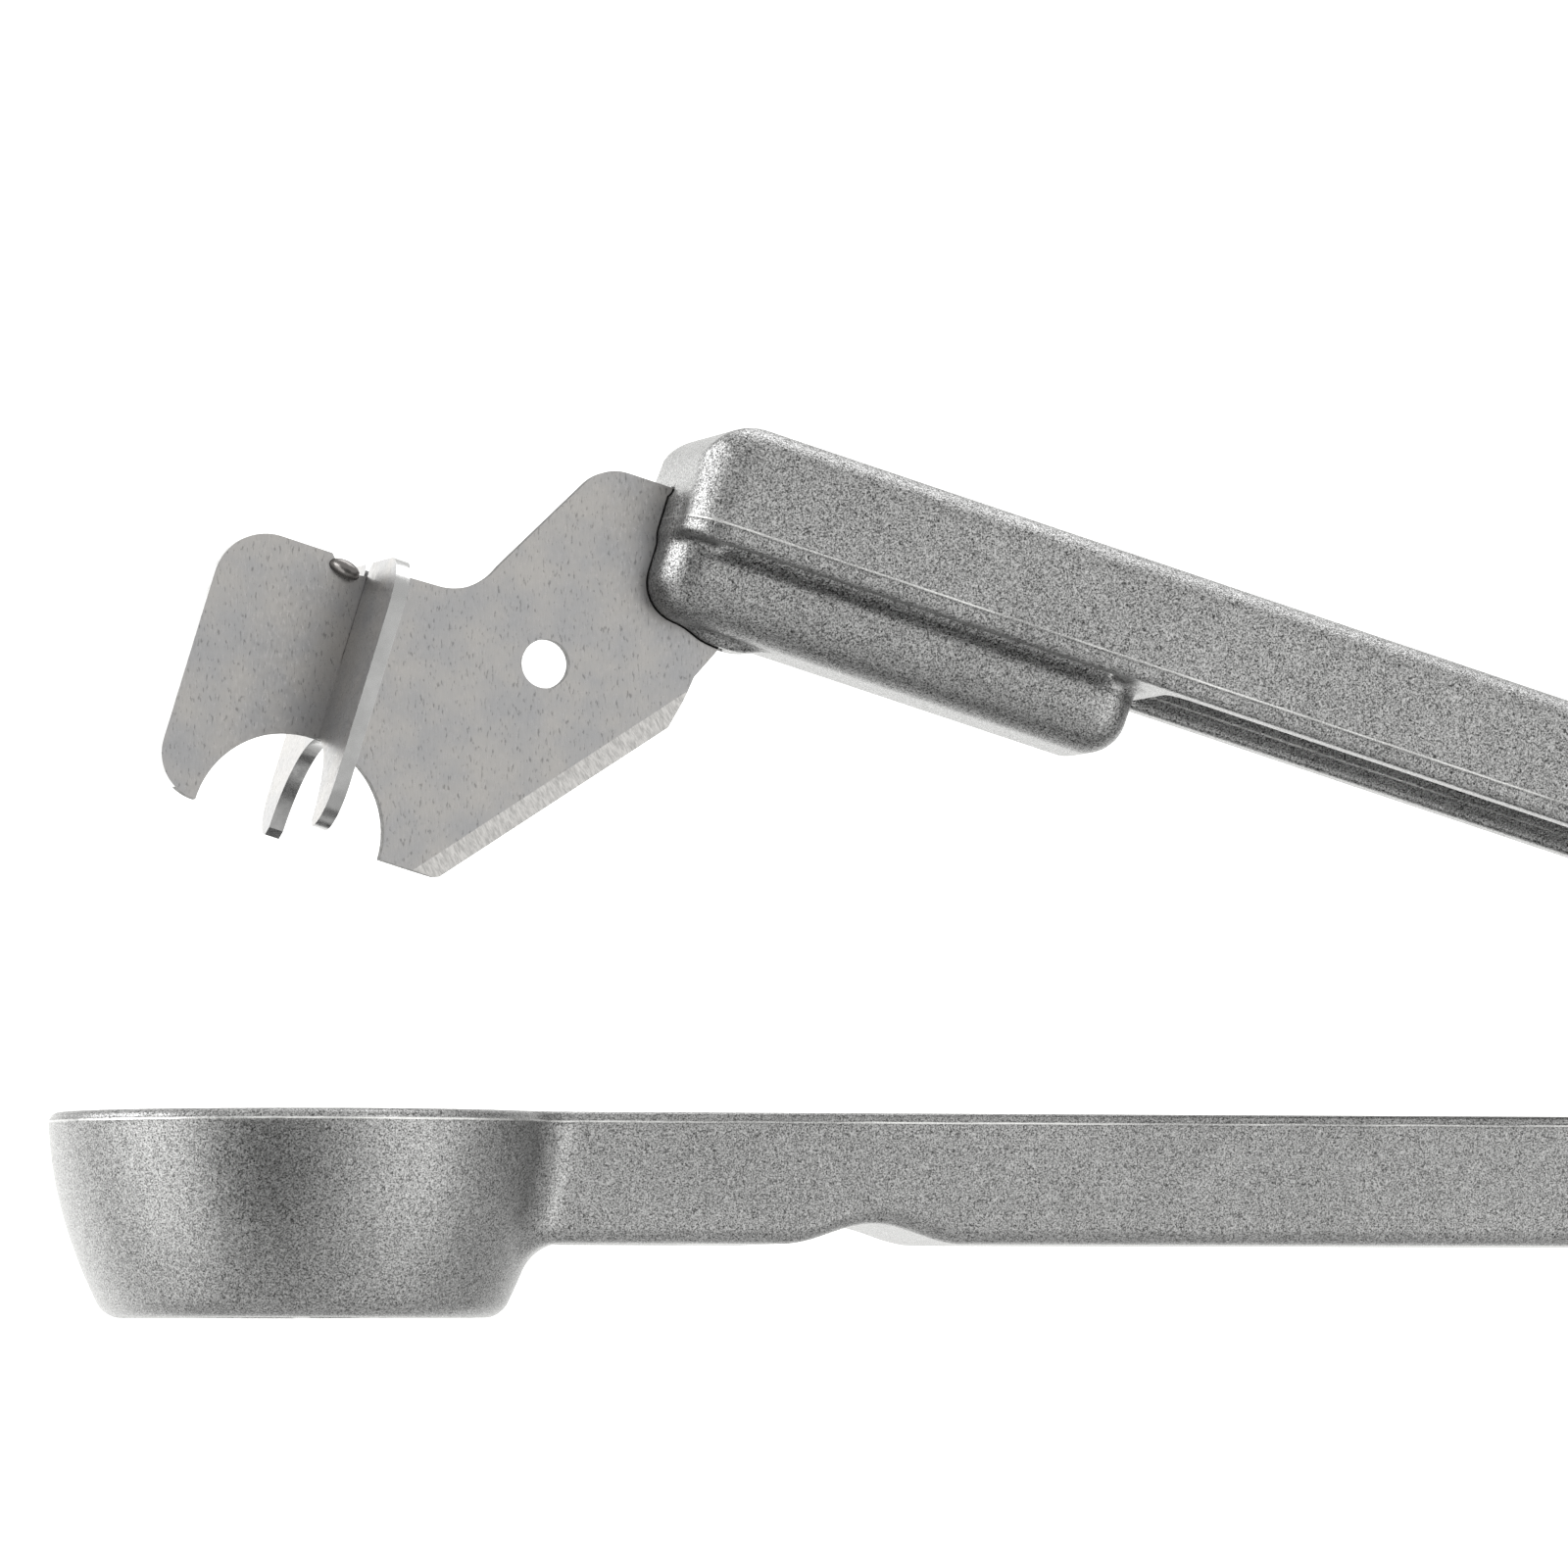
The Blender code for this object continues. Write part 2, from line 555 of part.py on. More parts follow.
def make_pivot_pin(material):
    """Rivet with a domed head, peened over the washer at its tail."""
    seat = -BODY_FLANGE_HALF - FIT_GAP
    tail = BODY_FLANGE_HALF + FIT_GAP + WASHER_THICKNESS + FIT_GAP
    dome = [(PIN_HEAD_RADIUS * math.cos(math.radians(angle)),
             seat - 0.5 - (PIN_HEAD_HEIGHT - 0.5) * math.sin(math.radians(angle))) for angle in (0, 25, 50, 75)]
    head = [(0.0, seat - PIN_HEAD_HEIGHT)] + dome[::-1] + [(PIN_HEAD_RADIUS, seat)]
    peened = [(PIN_TAIL_RADIUS - 0.2, tail), (PIN_TAIL_RADIUS, tail + 0.35),
              (PIN_TAIL_RADIUS - 0.6, tail + PIN_TAIL_HEIGHT - 0.1), (0.0, tail + PIN_TAIL_HEIGHT)]
    profile = head + [(PIN_RADIUS, seat), (PIN_RADIUS, tail)] + peened
    return turned("pivot_pin", profile, (0.0, 0.0, 0.0), "Y", 28, material)


def make_pivot_washer(material):
    inner = PIN_RADIUS + FIT_GAP
    low = BODY_FLANGE_HALF + FIT_GAP
    high = low + WASHER_THICKNESS
    profile = [(inner, low), (WASHER_RADIUS, low), (WASHER_RADIUS, high), (inner, high)]
    return turned("pivot_washer", profile, (0.0, 0.0, 0.0), "Y", 32, material)


def spring_path():
    """Lower leg, coil about the pin and upper leg, tangent to each other."""
    first = math.radians(-90.0 + LOWER_LEG_ANGLE)
    last = math.radians(90.0 - UPPER_LEG_ANGLE) + math.tau * COIL_TURNS
    width = COIL_PITCH * (last - first) / math.tau
    steps = 22 * COIL_TURNS
    coil = []
    for step in range(steps + 1):
        share = step / steps
        angle = first + (last - first) * share
        coil.append((COIL_RADIUS * math.cos(angle), width * (share - 0.5), COIL_RADIUS * math.sin(angle)))
    down = math.radians(LOWER_LEG_ANGLE)
    up = math.radians(UPPER_LEG_ANGLE)
    lower_end = (coil[0][0] - LEG_LENGTH * math.cos(down), coil[0][1], coil[0][2] - LEG_LENGTH * math.sin(down))
    upper_end = (coil[-1][0] - LEG_LENGTH * math.cos(up), coil[-1][1], coil[-1][2] + LEG_LENGTH * math.sin(up))
    return [lower_end] + coil + [upper_end]


def make_torsion_spring(material):
    curve = bpy.data.curves.new("torsion_spring", "CURVE")
    curve.dimensions = "3D"
    curve.bevel_depth = WIRE_RADIUS * MM
    curve.bevel_resolution = 2
    curve.use_fill_caps = True
    path = spring_path()
    spline = curve.splines.new("POLY")
    spline.points.add(len(path) - 1)
    for point, (x, y, z) in zip(spline.points, path):
        point.co = (x * MM, y * MM, z * MM, 1.0)
    curve.materials.append(material)
    spring = bpy.data.objects.new("torsion_spring", curve)
    bpy.context.scene.collection.objects.link(spring)
    return spring


def build():
    clear_scene()
    casting = metal("sand_grey_casting", (0.33, 0.33, 0.33), 0.5, 0.9)
    stainless = metal("stainless_plate", (0.42, 0.41, 0.42), 0.32, 1.0)
    steel = metal("plated_steel", (0.5, 0.5, 0.5), 0.25, 1.0)
    spring_steel = metal("spring_wire", (0.3, 0.29, 0.28), 0.35, 1.0)

    lower = [make_lower_arm(casting), make_pivot_pin(steel), make_pivot_washer(steel),
             make_torsion_spring(spring_steel)]
    upper = [make_upper_arm(casting), make_main_blade(stainless), make_cross_blade(stainless)]
    for piece in lower + upper:
        piece.location = HINGE
    for piece in upper:
        piece.rotation_euler = (0.0, math.radians(REST_OPENING), 0.0)


build()
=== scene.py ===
import json
import math

import bmesh
import bpy
import numpy as np
from mathutils import Matrix, Vector
from mathutils.geometry import delaunay_2d_cdt


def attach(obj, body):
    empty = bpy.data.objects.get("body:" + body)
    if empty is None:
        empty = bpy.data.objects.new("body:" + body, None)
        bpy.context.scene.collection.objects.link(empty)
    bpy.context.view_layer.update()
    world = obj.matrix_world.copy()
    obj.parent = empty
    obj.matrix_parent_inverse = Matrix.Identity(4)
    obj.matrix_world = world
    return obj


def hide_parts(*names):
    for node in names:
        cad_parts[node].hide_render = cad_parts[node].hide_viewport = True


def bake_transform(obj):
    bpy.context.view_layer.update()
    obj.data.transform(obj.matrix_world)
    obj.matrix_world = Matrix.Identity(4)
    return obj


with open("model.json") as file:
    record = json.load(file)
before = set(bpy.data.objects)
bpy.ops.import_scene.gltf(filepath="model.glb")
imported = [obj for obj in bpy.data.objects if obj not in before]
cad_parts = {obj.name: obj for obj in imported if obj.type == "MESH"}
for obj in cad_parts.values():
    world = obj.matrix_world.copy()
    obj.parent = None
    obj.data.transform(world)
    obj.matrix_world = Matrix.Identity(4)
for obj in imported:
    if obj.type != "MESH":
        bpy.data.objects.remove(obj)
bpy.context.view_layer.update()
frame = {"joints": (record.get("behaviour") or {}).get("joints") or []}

MM = 0.001

# Main sizes of the tool in millimetres, in the frame of the closed tool: the origin is on the
# hinge axis, X runs away from the cup and Z out of the cup. The upper arm is turned at the end.
REACH = 162.9
REST_OPENING = 17.2
CUP_HEIGHT = 14.95
CUP_RADIUS = 18.5
CUP_WALL = 2.4
CUP_FLOOR = 2.4
OUTLET_SHIFT = -1.2
OUTLET_RADIUS = 7.2
EAR_RADIUS = 9.3
KNUCKLE_RADIUS = 6.4
ARM_HEIGHT = 9.55
ARM_TOP_HALF = 9.0
ARM_DRAFT = 0.9
TROUGH_HALF = 6.9
TROUGH_DEPTH = 7.45
TROUGH_START = 19.5
TROUGH_END = REACH - 15.6
NOTCH_START = 34.4
NOTCH_END = 47.9
NOTCH_DEPTH = 1.5
TONGUE_HALF = 6.6
SPRING_SLOT_HALF = 3.9
HEEL_ANGLE = 30.2
BEAM_END = REACH - 9.8
BODY_FRONT = 20.2
FLANGE_HALF = 9.7
BODY_TOP_HALF = 8.9
PARTING_HEIGHT = 1.5
LOWER_PARTING_HEIGHT = -0.72
CLOSING_GAP = 0.2
ROOF = 2.2
CHANNEL_HALF = 7.0
BOSS_REAR = 57.4
BOSS_BOTTOM = -5.45
BOSS_TOP_HALF = 5.95
BOSS_BOTTOM_HALF = 5.0
BLADE_AXIS_DROP = 8.86
BLADE_HALF_THICKNESS = 0.55
BLADE_DEPTH = 20.0
TANG_END = 31.5
EDGE_START = (11.9, -19.8)
EDGE_END = (25.05, -4.1)
HANGING_HOLE = ((14.8, -2.5), 1.8)
CROSS_BLADE_SHIFT = 0.7
CROSS_BLADE_HALF = 11.4
PIN_RADIUS = 2.0
HOLE_CLEARANCE = 0.08

hinge = Vector(frame["joints"][0]["pos_m"])
cup_axis_x = hinge.x - REACH * MM

# ---------------------------------------------------------------- camera

VIEW_YAW = 14.5          # degrees from +Y towards +X
VIEW_PITCH = 2.515       # degrees upwards
CUP_BEARING = 12.49      # direction from the camera to the cup axis
CUP_DISTANCE = 1.0
EYE_HEIGHT = -0.005      # just below the underside of the cup

camera_data = bpy.data.cameras.new("camera")
camera_data.lens = 315.0
camera_data.sensor_width = 36.0
camera_data.clip_start = 0.01
camera_data.clip_end = 30.0
camera = bpy.data.objects.new("camera", camera_data)
bpy.context.scene.collection.objects.link(camera)
camera.location = (cup_axis_x - CUP_DISTANCE * math.sin(math.radians(CUP_BEARING)),
                   -CUP_DISTANCE * math.cos(math.radians(CUP_BEARING)), EYE_HEIGHT)
camera.rotation_euler = (math.radians(90.0 + VIEW_PITCH), 0.0, -math.radians(VIEW_YAW))
bpy.context.scene.camera = camera
bpy.context.scene.view_settings.view_transform = "Standard"


# ---------------------------------------------------------------- distance fields

def round_max(a, b, radius):
    """Meet of two distance fields with a rounded edge."""
    corner = np.sqrt(np.maximum(a + radius, 0.0) ** 2 + np.maximum(b + radius, 0.0) ** 2)
    return np.minimum(np.maximum(a, b), -radius) + corner


def round_min(a, b, radius):
    """Union of two distance fields with a fillet."""
    return -round_max(-a, -b, radius)


def smooth_step(value, low, high):
    share = np.clip((value - low) / (high - low), 0.0, 1.0)
    return share * share * (3.0 - 2.0 * share)


def waver(s, seed):
    """Slow irregular line, about one unit high."""
    return (0.5 * np.sin(0.61 * s + seed) + 0.3 * np.sin(1.37 * s + 2.1 * seed)
            + 0.25 * np.sin(3.1 * s + 0.7 * seed) + 0.15 * np.sin(7.3 * s + 1.9 * seed))


def cup_radius(depth):
    return CUP_RADIUS - 0.0221 * np.maximum(depth, 0.0) ** 1.93


def parting_step(height, line):
    """Sideways shift at a parting line: a thin fin and the slightly smaller half above it."""
    fin = 0.10 * np.exp(-((height - line) / 0.11) ** 2)
    return fin - 0.07 * smooth_step(height, line, line + 0.18)


def lower_arm_field(x, y, z):
    s = x + REACH
    depth = -z
    width = np.abs(y)
    r = np.sqrt(s * s + y * y)
    line = LOWER_PARTING_HEIGHT + 0.07 * waver(s, 1.3)
    shift = parting_step(z, line)

    cup = round_max(r - cup_radius(depth) - shift, depth - CUP_HEIGHT, 1.05)
    side = width - (ARM_TOP_HALF - ARM_DRAFT * depth / ARM_HEIGHT) - shift
    phase = np.clip((s - NOTCH_START) / (NOTCH_END - NOTCH_START), 0.0, 1.0)
    notch = NOTCH_DEPTH * (0.5 - 0.5 * np.cos(math.tau * phase))
    beam = round_max(side, depth - ARM_HEIGHT + notch, 1.3)
    beam = round_max(beam, s - BEAM_END, 1.0)
    beam = np.maximum(beam, -s)
    body = round_max(round_min(cup, beam, 2.0), z, 0.75)

    spread = np.sqrt(np.maximum(x, 0.0) ** 2 + z * z)
    heel = math.radians(HEEL_ANGLE)
    above_heel = x * math.sin(heel) + z * math.cos(heel)
    low_part = round_max(spread - ARM_HEIGHT, np.maximum(above_heel, z), 0.5)
    low_part = np.maximum(low_part, TROUGH_END + 2.0 - REACH - x)
    knuckle = np.sqrt(x * x + z * z) - KNUCKLE_RADIUS
    tongue = round_max(round_min(low_part, knuckle, 0.8), width - TONGUE_HALF, 0.6)
    body = np.minimum(body, tongue)

    bowl = round_max(r - cup_radius(depth) + CUP_WALL, depth - CUP_HEIGHT + CUP_FLOOR, 3.0)
    body = round_max(body, -bowl, 0.55)
    trough = round_max(width - TROUGH_HALF + 0.9 * depth / TROUGH_DEPTH, depth - TROUGH_DEPTH, 1.2)
    trough = round_max(trough, np.maximum(TROUGH_START - s, s - TROUGH_END), 1.5)
    body = round_max(body, -trough, 0.5)

    outlet = np.sqrt((s - OUTLET_SHIFT) ** 2 + y * y) - OUTLET_RADIUS
    long_slot = np.maximum(width - 1.2, np.maximum(-13.2 - s, s - 28.6))
    cross_slot = np.maximum(width - 12.1, np.maximum(-2.6 - s, s - 1.8))
    ways = round_min(round_min(outlet, long_slot, 0.5), cross_slot, 0.5)
    ways = np.maximum(ways, z + 9.0)
    wall_slot = np.maximum(width - 1.2, np.maximum(12.0 - s, s - 28.6))
    body = round_max(body, -np.minimum(ways, wall_slot), 0.3)

    spring_slot = np.maximum(width - SPRING_SLOT_HALF, -TROUGH_DEPTH - z)
    spring_slot = np.maximum(spring_slot, TROUGH_END - REACH - 1.0 - x)
    body = round_max(body, -spring_slot, 0.35)
    pin_hole = np.sqrt(x * x + z * z) - PIN_RADIUS - HOLE_CLEARANCE
    return np.maximum(body, -pin_hole)


def upper_arm_field(x, y, z):
    s = x + REACH
    width = np.abs(y)
    round_hinge = np.sqrt(x * x + z * z)
    ahead = BODY_FRONT - s
    line = PARTING_HEIGHT + 0.05 * waver(s, 4.2)
    shift = parting_step(-z, -line)

    top = np.sqrt(np.maximum(x, 0.0) ** 2 + np.maximum(z, 0.0) ** 2) - EAR_RADIUS
    draft = (FLANGE_HALF - BODY_TOP_HALF) / (EAR_RADIUS - PARTING_HEIGHT)
    half = FLANGE_HALF - draft * np.maximum(z - line, 0.0)
    half = half - 0.12 * np.clip(line - z, 0.0, 1.3) - 0.02 * np.maximum(CLOSING_GAP - z, 0.0)
    body = round_max(width - half - shift, top, 2.2)
    body = round_max(body, ahead, 3.2 + 0.8 * smooth_step(z, 3.0, 8.0))
    below = np.minimum(CLOSING_GAP - z, round_hinge - EAR_RADIUS)
    body = round_max(body, below, 0.45)

    roof = EAR_RADIUS - ROOF
    shell = math.radians(3.0)
    under_shell = x * math.sin(shell) + z * math.cos(shell)
    inside = np.minimum(np.maximum(z - roof, x), round_hinge - roof)
    inside = np.minimum(inside, np.maximum(under_shell, -x))
    channel = round_max(inside, width - CHANNEL_HALF - 0.05 * np.maximum(-z, 0.0), 1.0)
    channel = round_max(channel, BOSS_REAR + 1.8 - s, 1.2)
    body = round_max(body, -channel, 0.4)

    groove = round_max(width - 7.75, z - 1.3, 0.6)
    groove = round_max(groove, np.maximum(BODY_FRONT + 3.2 - s, s - BOSS_REAR + 2.6), 0.9)
    groove = np.maximum(groove, 4.0 - width)
    body = round_max(body, -groove, 0.25)

    taper = (BOSS_TOP_HALF - BOSS_BOTTOM_HALF) / (PARTING_HEIGHT - BOSS_BOTTOM)
    boss = width - BOSS_BOTTOM_HALF - taper * (z - BOSS_BOTTOM) - 0.35 + 0.35 * smooth_step(z, -1.2, 0.3)
    boss = round_max(boss, BOSS_BOTTOM - z, 2.9)
    boss = round_max(boss, np.maximum(ahead, s - BOSS_REAR), 3.0)
    boss = np.maximum(boss, z - 3.0)
    body = round_min(body, boss, 0.8)
    lug = 0.8 * (np.sqrt(((s - 27.0) / 2.6) ** 2 + ((z - BOSS_BOTTOM) / 0.8) ** 2) - 1.0)
    lug = round_max(lug, width - 1.6, 0.4)
    body = round_min(body, lug, 0.5)

    blade = np.maximum(width - BLADE_HALF_THICKNESS - 0.14, z - 4.02)
    blade = np.maximum(blade, s - 31.6)
    blade = np.maximum(blade, np.maximum(s - 27.5, 0.0) * 0.9 - z - 6.9)
    blade = np.maximum(blade, np.minimum(s - 26.95 - 0.42 * (z + 6.8), -5.2 - z))
    body = np.maximum(body, -blade)
    pin_hole = round_hinge - PIN_RADIUS - HOLE_CLEARANCE
    return np.maximum(body, -pin_hole)


# ---------------------------------------------------------------- meshes from fields

def spaced(*runs):
    """Grid coordinates: a start, then pairs of an end and a spacing."""
    values = [runs[0]]
    for end, spacing in zip(runs[1::2], runs[2::2]):
        count = max(1, round(abs(end - values[-1]) / spacing))
        values.extend(np.linspace(values[-1], end, count + 1)[1:])
    return np.array(values)


def both_sides(values):
    return np.concatenate([-values[::-1], values])


def surface_net(field, xs, ys, zs):
    """Quads over the zero surface of a field, one vertex for each grid cell that it crosses."""
    values = field(xs[:, None, None], ys[None, :, None], zs[None, None, :])
    values = np.where(values == 0.0, 1e-9, values)
    inside = values < 0.0
    cells = tuple(n - 1 for n in values.shape)
    total = np.zeros(cells + (3,))
    count = np.zeros(cells)
    axes = (xs, ys, zs)
    crossings = []
    for axis in range(3):
        low = [slice(None)] * 3
        high = [slice(None)] * 3
        low[axis] = slice(0, -1)
        high[axis] = slice(1, None)
        low, high = tuple(low), tuple(high)
        found = np.argwhere(inside[low] != inside[high])
        first = values[low][tuple(found.T)]
        second = values[high][tuple(found.T)]
        share = first / (first - second)
        points = np.stack([axes[k][found[:, k]] for k in range(3)], axis=1)
        step = axes[axis][found[:, axis] + 1] - axes[axis][found[:, axis]]
        points[:, axis] += share * step
        others = [k for k in range(3) if k != axis]
        for shift_a in (0, 1):
            for shift_b in (0, 1):
                cell = found.copy()
                cell[:, others[0]] -= shift_a
                cell[:, others[1]] -= shift_b
                fine = ((cell >= 0) & (cell < np.array(cells))).all(axis=1)
                index = tuple(cell[fine].T)
                np.add.at(total, index, points[fine])
                np.add.at(count, index, 1.0)
        crossings.append((axis, others, found, inside[low][tuple(found.T)]))
    used = count > 0
    number = np.full(cells, -1)
    number[used] = np.arange(used.sum())
    verts = total[used] / count[used][:, None]

    quads = []
    for axis, others, found, starts_inside in crossings:
        corners = []
        for shift_a, shift_b in ((1, 1), (0, 1), (0, 0), (1, 0)):
            cell = found.copy()
            cell[:, others[0]] -= shift_a
            cell[:, others[1]] -= shift_b
            corners.append(number[tuple(cell.T)])
        quad = np.stack(corners, axis=1)
        flip = starts_inside if axis != 1 else ~starts_inside
        quad[~flip] = quad[~flip][:, ::-1]
        quads.append(quad)
    return verts, np.concatenate(quads)


def settle(field, verts, rounds, reach):
    """Moves the vertices onto the surface along the field's slope."""
    small = 0.01
    for _ in range(rounds):
        x, y, z = verts.T
        value = field(x, y, z)
        slope = np.stack([field(x + small, y, z) - field(x - small, y, z),
                          field(x, y + small, z) - field(x, y - small, z),
                          field(x, y, z + small) - field(x, y, z - small)], axis=1) / (2.0 * small)
        size = np.maximum((slope ** 2).sum(axis=1), 0.2)
        move = -(value / size)[:, None] * slope
        length = np.sqrt((move ** 2).sum(axis=1))[:, None]
        verts = verts + move * np.minimum(1.0, reach / np.maximum(length, 1e-9))
    return verts


def mesh_object(name, verts, quads):
    mesh = bpy.data.meshes.new(name)
    mesh.vertices.add(len(verts))
    mesh.vertices.foreach_set("co", (verts * MM).astype(np.float32).ravel())
    mesh.loops.add(quads.size)
    mesh.loops.foreach_set("vertex_index", quads.astype(np.int32).ravel())
    mesh.polygons.add(len(quads))
    mesh.polygons.foreach_set("loop_start", np.arange(0, quads.size, 4, dtype=np.int32))
    mesh.update()
    mesh.validate()
    mesh.shade_smooth()
    obj = bpy.data.objects.new(name, mesh)
    bpy.context.scene.collection.objects.link(obj)
    return obj


def cast_piece(name, field, xs, ys, zs):
    verts, quads = surface_net(field, xs, ys, zs)
    verts = settle(field, verts, 4, 0.12)
    print(name, len(verts), "vertices", 2 * len(quads), "triangles")
    return mesh_object(name, verts, quads)


def place(obj, opening, body, node, slot_name, *materials):
    """Puts a piece drawn in the closed hinge frame in its place and ties it to its body."""
    obj.data.transform(Matrix.Translation(hinge) @ Matrix.Rotation(math.radians(opening), 4, "Y"))
    for material in materials:
        obj.data.materials.append(material)
    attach(obj, body)
    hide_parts(node)


# ---------------------------------------------------------------- materials

class Nodes:
    """Small helper that makes shader nodes and links them."""

    def __init__(self, name):
        self.material = bpy.data.materials.new(name)
        self.material.use_nodes = True
        self.tree = self.material.node_tree
        self.shader = self.tree.nodes["Principled BSDF"]
        self.place = self.make("ShaderNodeTexCoord").outputs["Object"]

    def make(self, kind, inputs=None, **settings):
        node = self.tree.nodes.new(kind)
        for key, value in settings.items():
            setattr(node, key, value)
        for key, value in (inputs or {}).items():
            if isinstance(value, bpy.types.NodeSocket):
                self.tree.links.new(value, node.inputs[key])
            else:
                node.inputs[key].default_value = value
        return node

    def noise(self, scale, detail=2.0, roughness=0.5, place=None):
        inputs = {"Vector": place or self.place, "Scale": scale, "Detail": detail, "Roughness": roughness}
        return self.make("ShaderNodeTexNoise", inputs).outputs["Fac"]

    def ramp(self, value, low, high, out_low=0.0, out_high=1.0):
        inputs = {"Value": value, "From Min": low, "From Max": high, "To Min": out_low, "To Max": out_high}
        return self.make("ShaderNodeMapRange", inputs, interpolation_type="SMOOTHSTEP").outputs["Result"]

    def math(self, operation, first, second):
        return self.make("ShaderNodeMath", {0: first, 1: second}, operation=operation).outputs[0]

    def mix(self, factor, first, second):
        node = self.tree.nodes.new("ShaderNodeMix")
        node.data_type = "RGBA"
        for index, value in ((0, factor), (6, first), (7, second)):
            if isinstance(value, bpy.types.NodeSocket):
                self.tree.links.new(value, node.inputs[index])
            else:
                node.inputs[index].default_value = value
        return node.outputs[2]

    def bump(self, height, strength, distance, normal=None):
        inputs = {"Height": height, "Strength": strength, "Distance": distance}
        if normal:
            inputs["Normal"] = normal
        return self.make("ShaderNodeBump", inputs).outputs["Normal"]

    def set(self, socket, value):
        if isinstance(value, bpy.types.NodeSocket):
            self.tree.links.new(value, self.shader.inputs[socket])
        else:
            self.shader.inputs[socket].default_value = value


def casting_material(name, grain_size, relief, contrast, parting):
    """Sparkling grey coating on a die casting, with a painted highlight along the parting line.

    The grain size is in millimetres. Parting is the tilt of the casting and the line's height.
    """
    m = Nodes(name)
    grain_scale = 1.0 / (grain_size * MM)
    grain = m.noise(grain_scale, 2.0, 0.6)
    flake = m.make("ShaderNodeTexVoronoi", {"Vector": m.place, "Scale": grain_scale * 0.9}).outputs["Color"]
    flake_value = m.make("ShaderNodeSeparateColor", {"Color": flake}).outputs[0]
    patches = m.noise(90.0, 3.0, 0.55)
    dark = (max(0.25 - 0.17 * contrast, 0.02),) * 3 + (1.0,)
    light = (0.25 + 0.24 * contrast,) * 3 + (1.0,)
    speckle = m.math("ADD", m.math("MULTIPLY", m.ramp(grain, 0.38, 0.62), 0.6),
                     m.math("MULTIPLY", flake_value, 0.4))
    colour = m.mix(speckle, dark, light)
    tone = m.ramp(patches, 0.3, 0.7, 0.94, 1.05)
    tinted = m.make("ShaderNodeVectorMath", {0: colour, "Scale": tone}, operation="SCALE").outputs[0]
    tilt, height = parting
    up = (math.sin(math.radians(tilt)), 0.0, math.cos(math.radians(tilt)))
    level = m.make("ShaderNodeVectorMath", {0: m.place, 1: up}, operation="DOT_PRODUCT").outputs["Value"]
    from_line = m.math("ABSOLUTE", m.math("SUBTRACT", level, hinge.dot(Vector(up)) + height * MM), 0.0)
    # Painted highlight: a patchy near-white band of colour along the parting line stands in for the light
    # that the fin catches.
    parting_highlight = m.math("MULTIPLY", m.ramp(from_line, 0.00003, 0.00011, 0.8, 0.0),
                   m.ramp(patches, 0.35, 0.6, 0.3, 1.0))
    m.set("Base Color", m.mix(parting_highlight, tinted, (0.95, 0.95, 0.94, 1.0)))
    m.set("Metallic", 0.95)
    m.set("Roughness", m.ramp(m.math("ADD", m.math("MULTIPLY", flake_value, 0.7),
                                     m.math("MULTIPLY", patches, 0.3)), 0.0, 1.0, 0.24, 0.40))
    leather = m.noise(grain_scale * 0.32, 3.0, 0.55)
    leather_bump = m.bump(leather, relief * 0.4, 0.0001)
    m.set("Normal", m.bump(grain, relief, 0.00005, leather_bump))
    return m.material


def plate_material():
    """Rolled stainless sheet with faint mottling and small dash-shaped pits."""
    m = Nodes("stainless_plate")
    stretched = m.make("ShaderNodeMapping", {"Vector": m.place, "Scale": (1.0, 1.0, 0.28)}).outputs[0]
    mottling = m.noise(260.0, 4.0, 0.6)
    pits = m.noise(5200.0, 3.0, 0.6, stretched)
    fine = m.noise(7000.0, 2.0, 0.6, stretched)
    cool = (0.37, 0.37, 0.378, 1.0)
    warm = (0.43, 0.417, 0.405, 1.0)
    base = m.mix(m.ramp(mottling, 0.3, 0.7), cool, warm)
    dashes = m.ramp(pits, 0.33, 0.42, 0.62, 1.0)
    shade = m.make("ShaderNodeVectorMath", {0: base, "Scale": dashes}, operation="SCALE").outputs[0]
    m.set("Base Color", shade)
    m.set("Metallic", 1.0)
    m.set("Roughness", m.ramp(fine, 0.25, 0.75, 0.26, 0.42))
    m.set("Normal", m.bump(fine, 0.10, 0.00003, m.bump(pits, 0.12, 0.00005)))
    return m.material


EDGE_SLOPE = 50.0        # degrees between the ground edge and the arm


def ground_material():
    """Ground cutting edge with grinding strokes across it."""
    m = Nodes("ground_edge")
    slope = math.radians(EDGE_SLOPE - REST_OPENING)
    turned_place = m.make("ShaderNodeVectorRotate", {"Vector": m.place, "Angle": slope},
                          rotation_type="Y_AXIS").outputs[0]
    strokes_place = m.make("ShaderNodeMapping",
                           {"Vector": turned_place, "Scale": (1.0, 1.0, 0.1)}).outputs[0]
    strokes = m.noise(5500.0, 3.0, 0.65, strokes_place)
    dark, light = (0.30, 0.295, 0.29, 1.0), (0.52, 0.51, 0.50, 1.0)
    m.set("Base Color", m.mix(m.ramp(strokes, 0.3, 0.7), dark, light))
    m.set("Metallic", 1.0)
    m.set("Roughness", m.ramp(strokes, 0.3, 0.7, 0.3, 0.42))
    m.set("Normal", m.bump(strokes, 0.35, 0.00005))
    return m.material


def steel_material(name, colour, roughness, mark_scale):
    """Bright drawn or turned steel with fine marks."""
    m = Nodes(name)
    marks = m.noise(mark_scale, 3.0, 0.6)
    worn = m.noise(mark_scale * 0.12, 3.0, 0.5)
    low = tuple(0.8 * value for value in colour) + (1.0,)
    m.set("Base Color", m.mix(m.ramp(worn, 0.3, 0.7), low, colour + (1.0,)))
    m.set("Metallic", 1.0)
    m.set("Roughness", m.ramp(marks, 0.3, 0.7, roughness - 0.06, roughness + 0.10))
    m.set("Normal", m.bump(marks, 0.2, 0.00004))
    return m.material


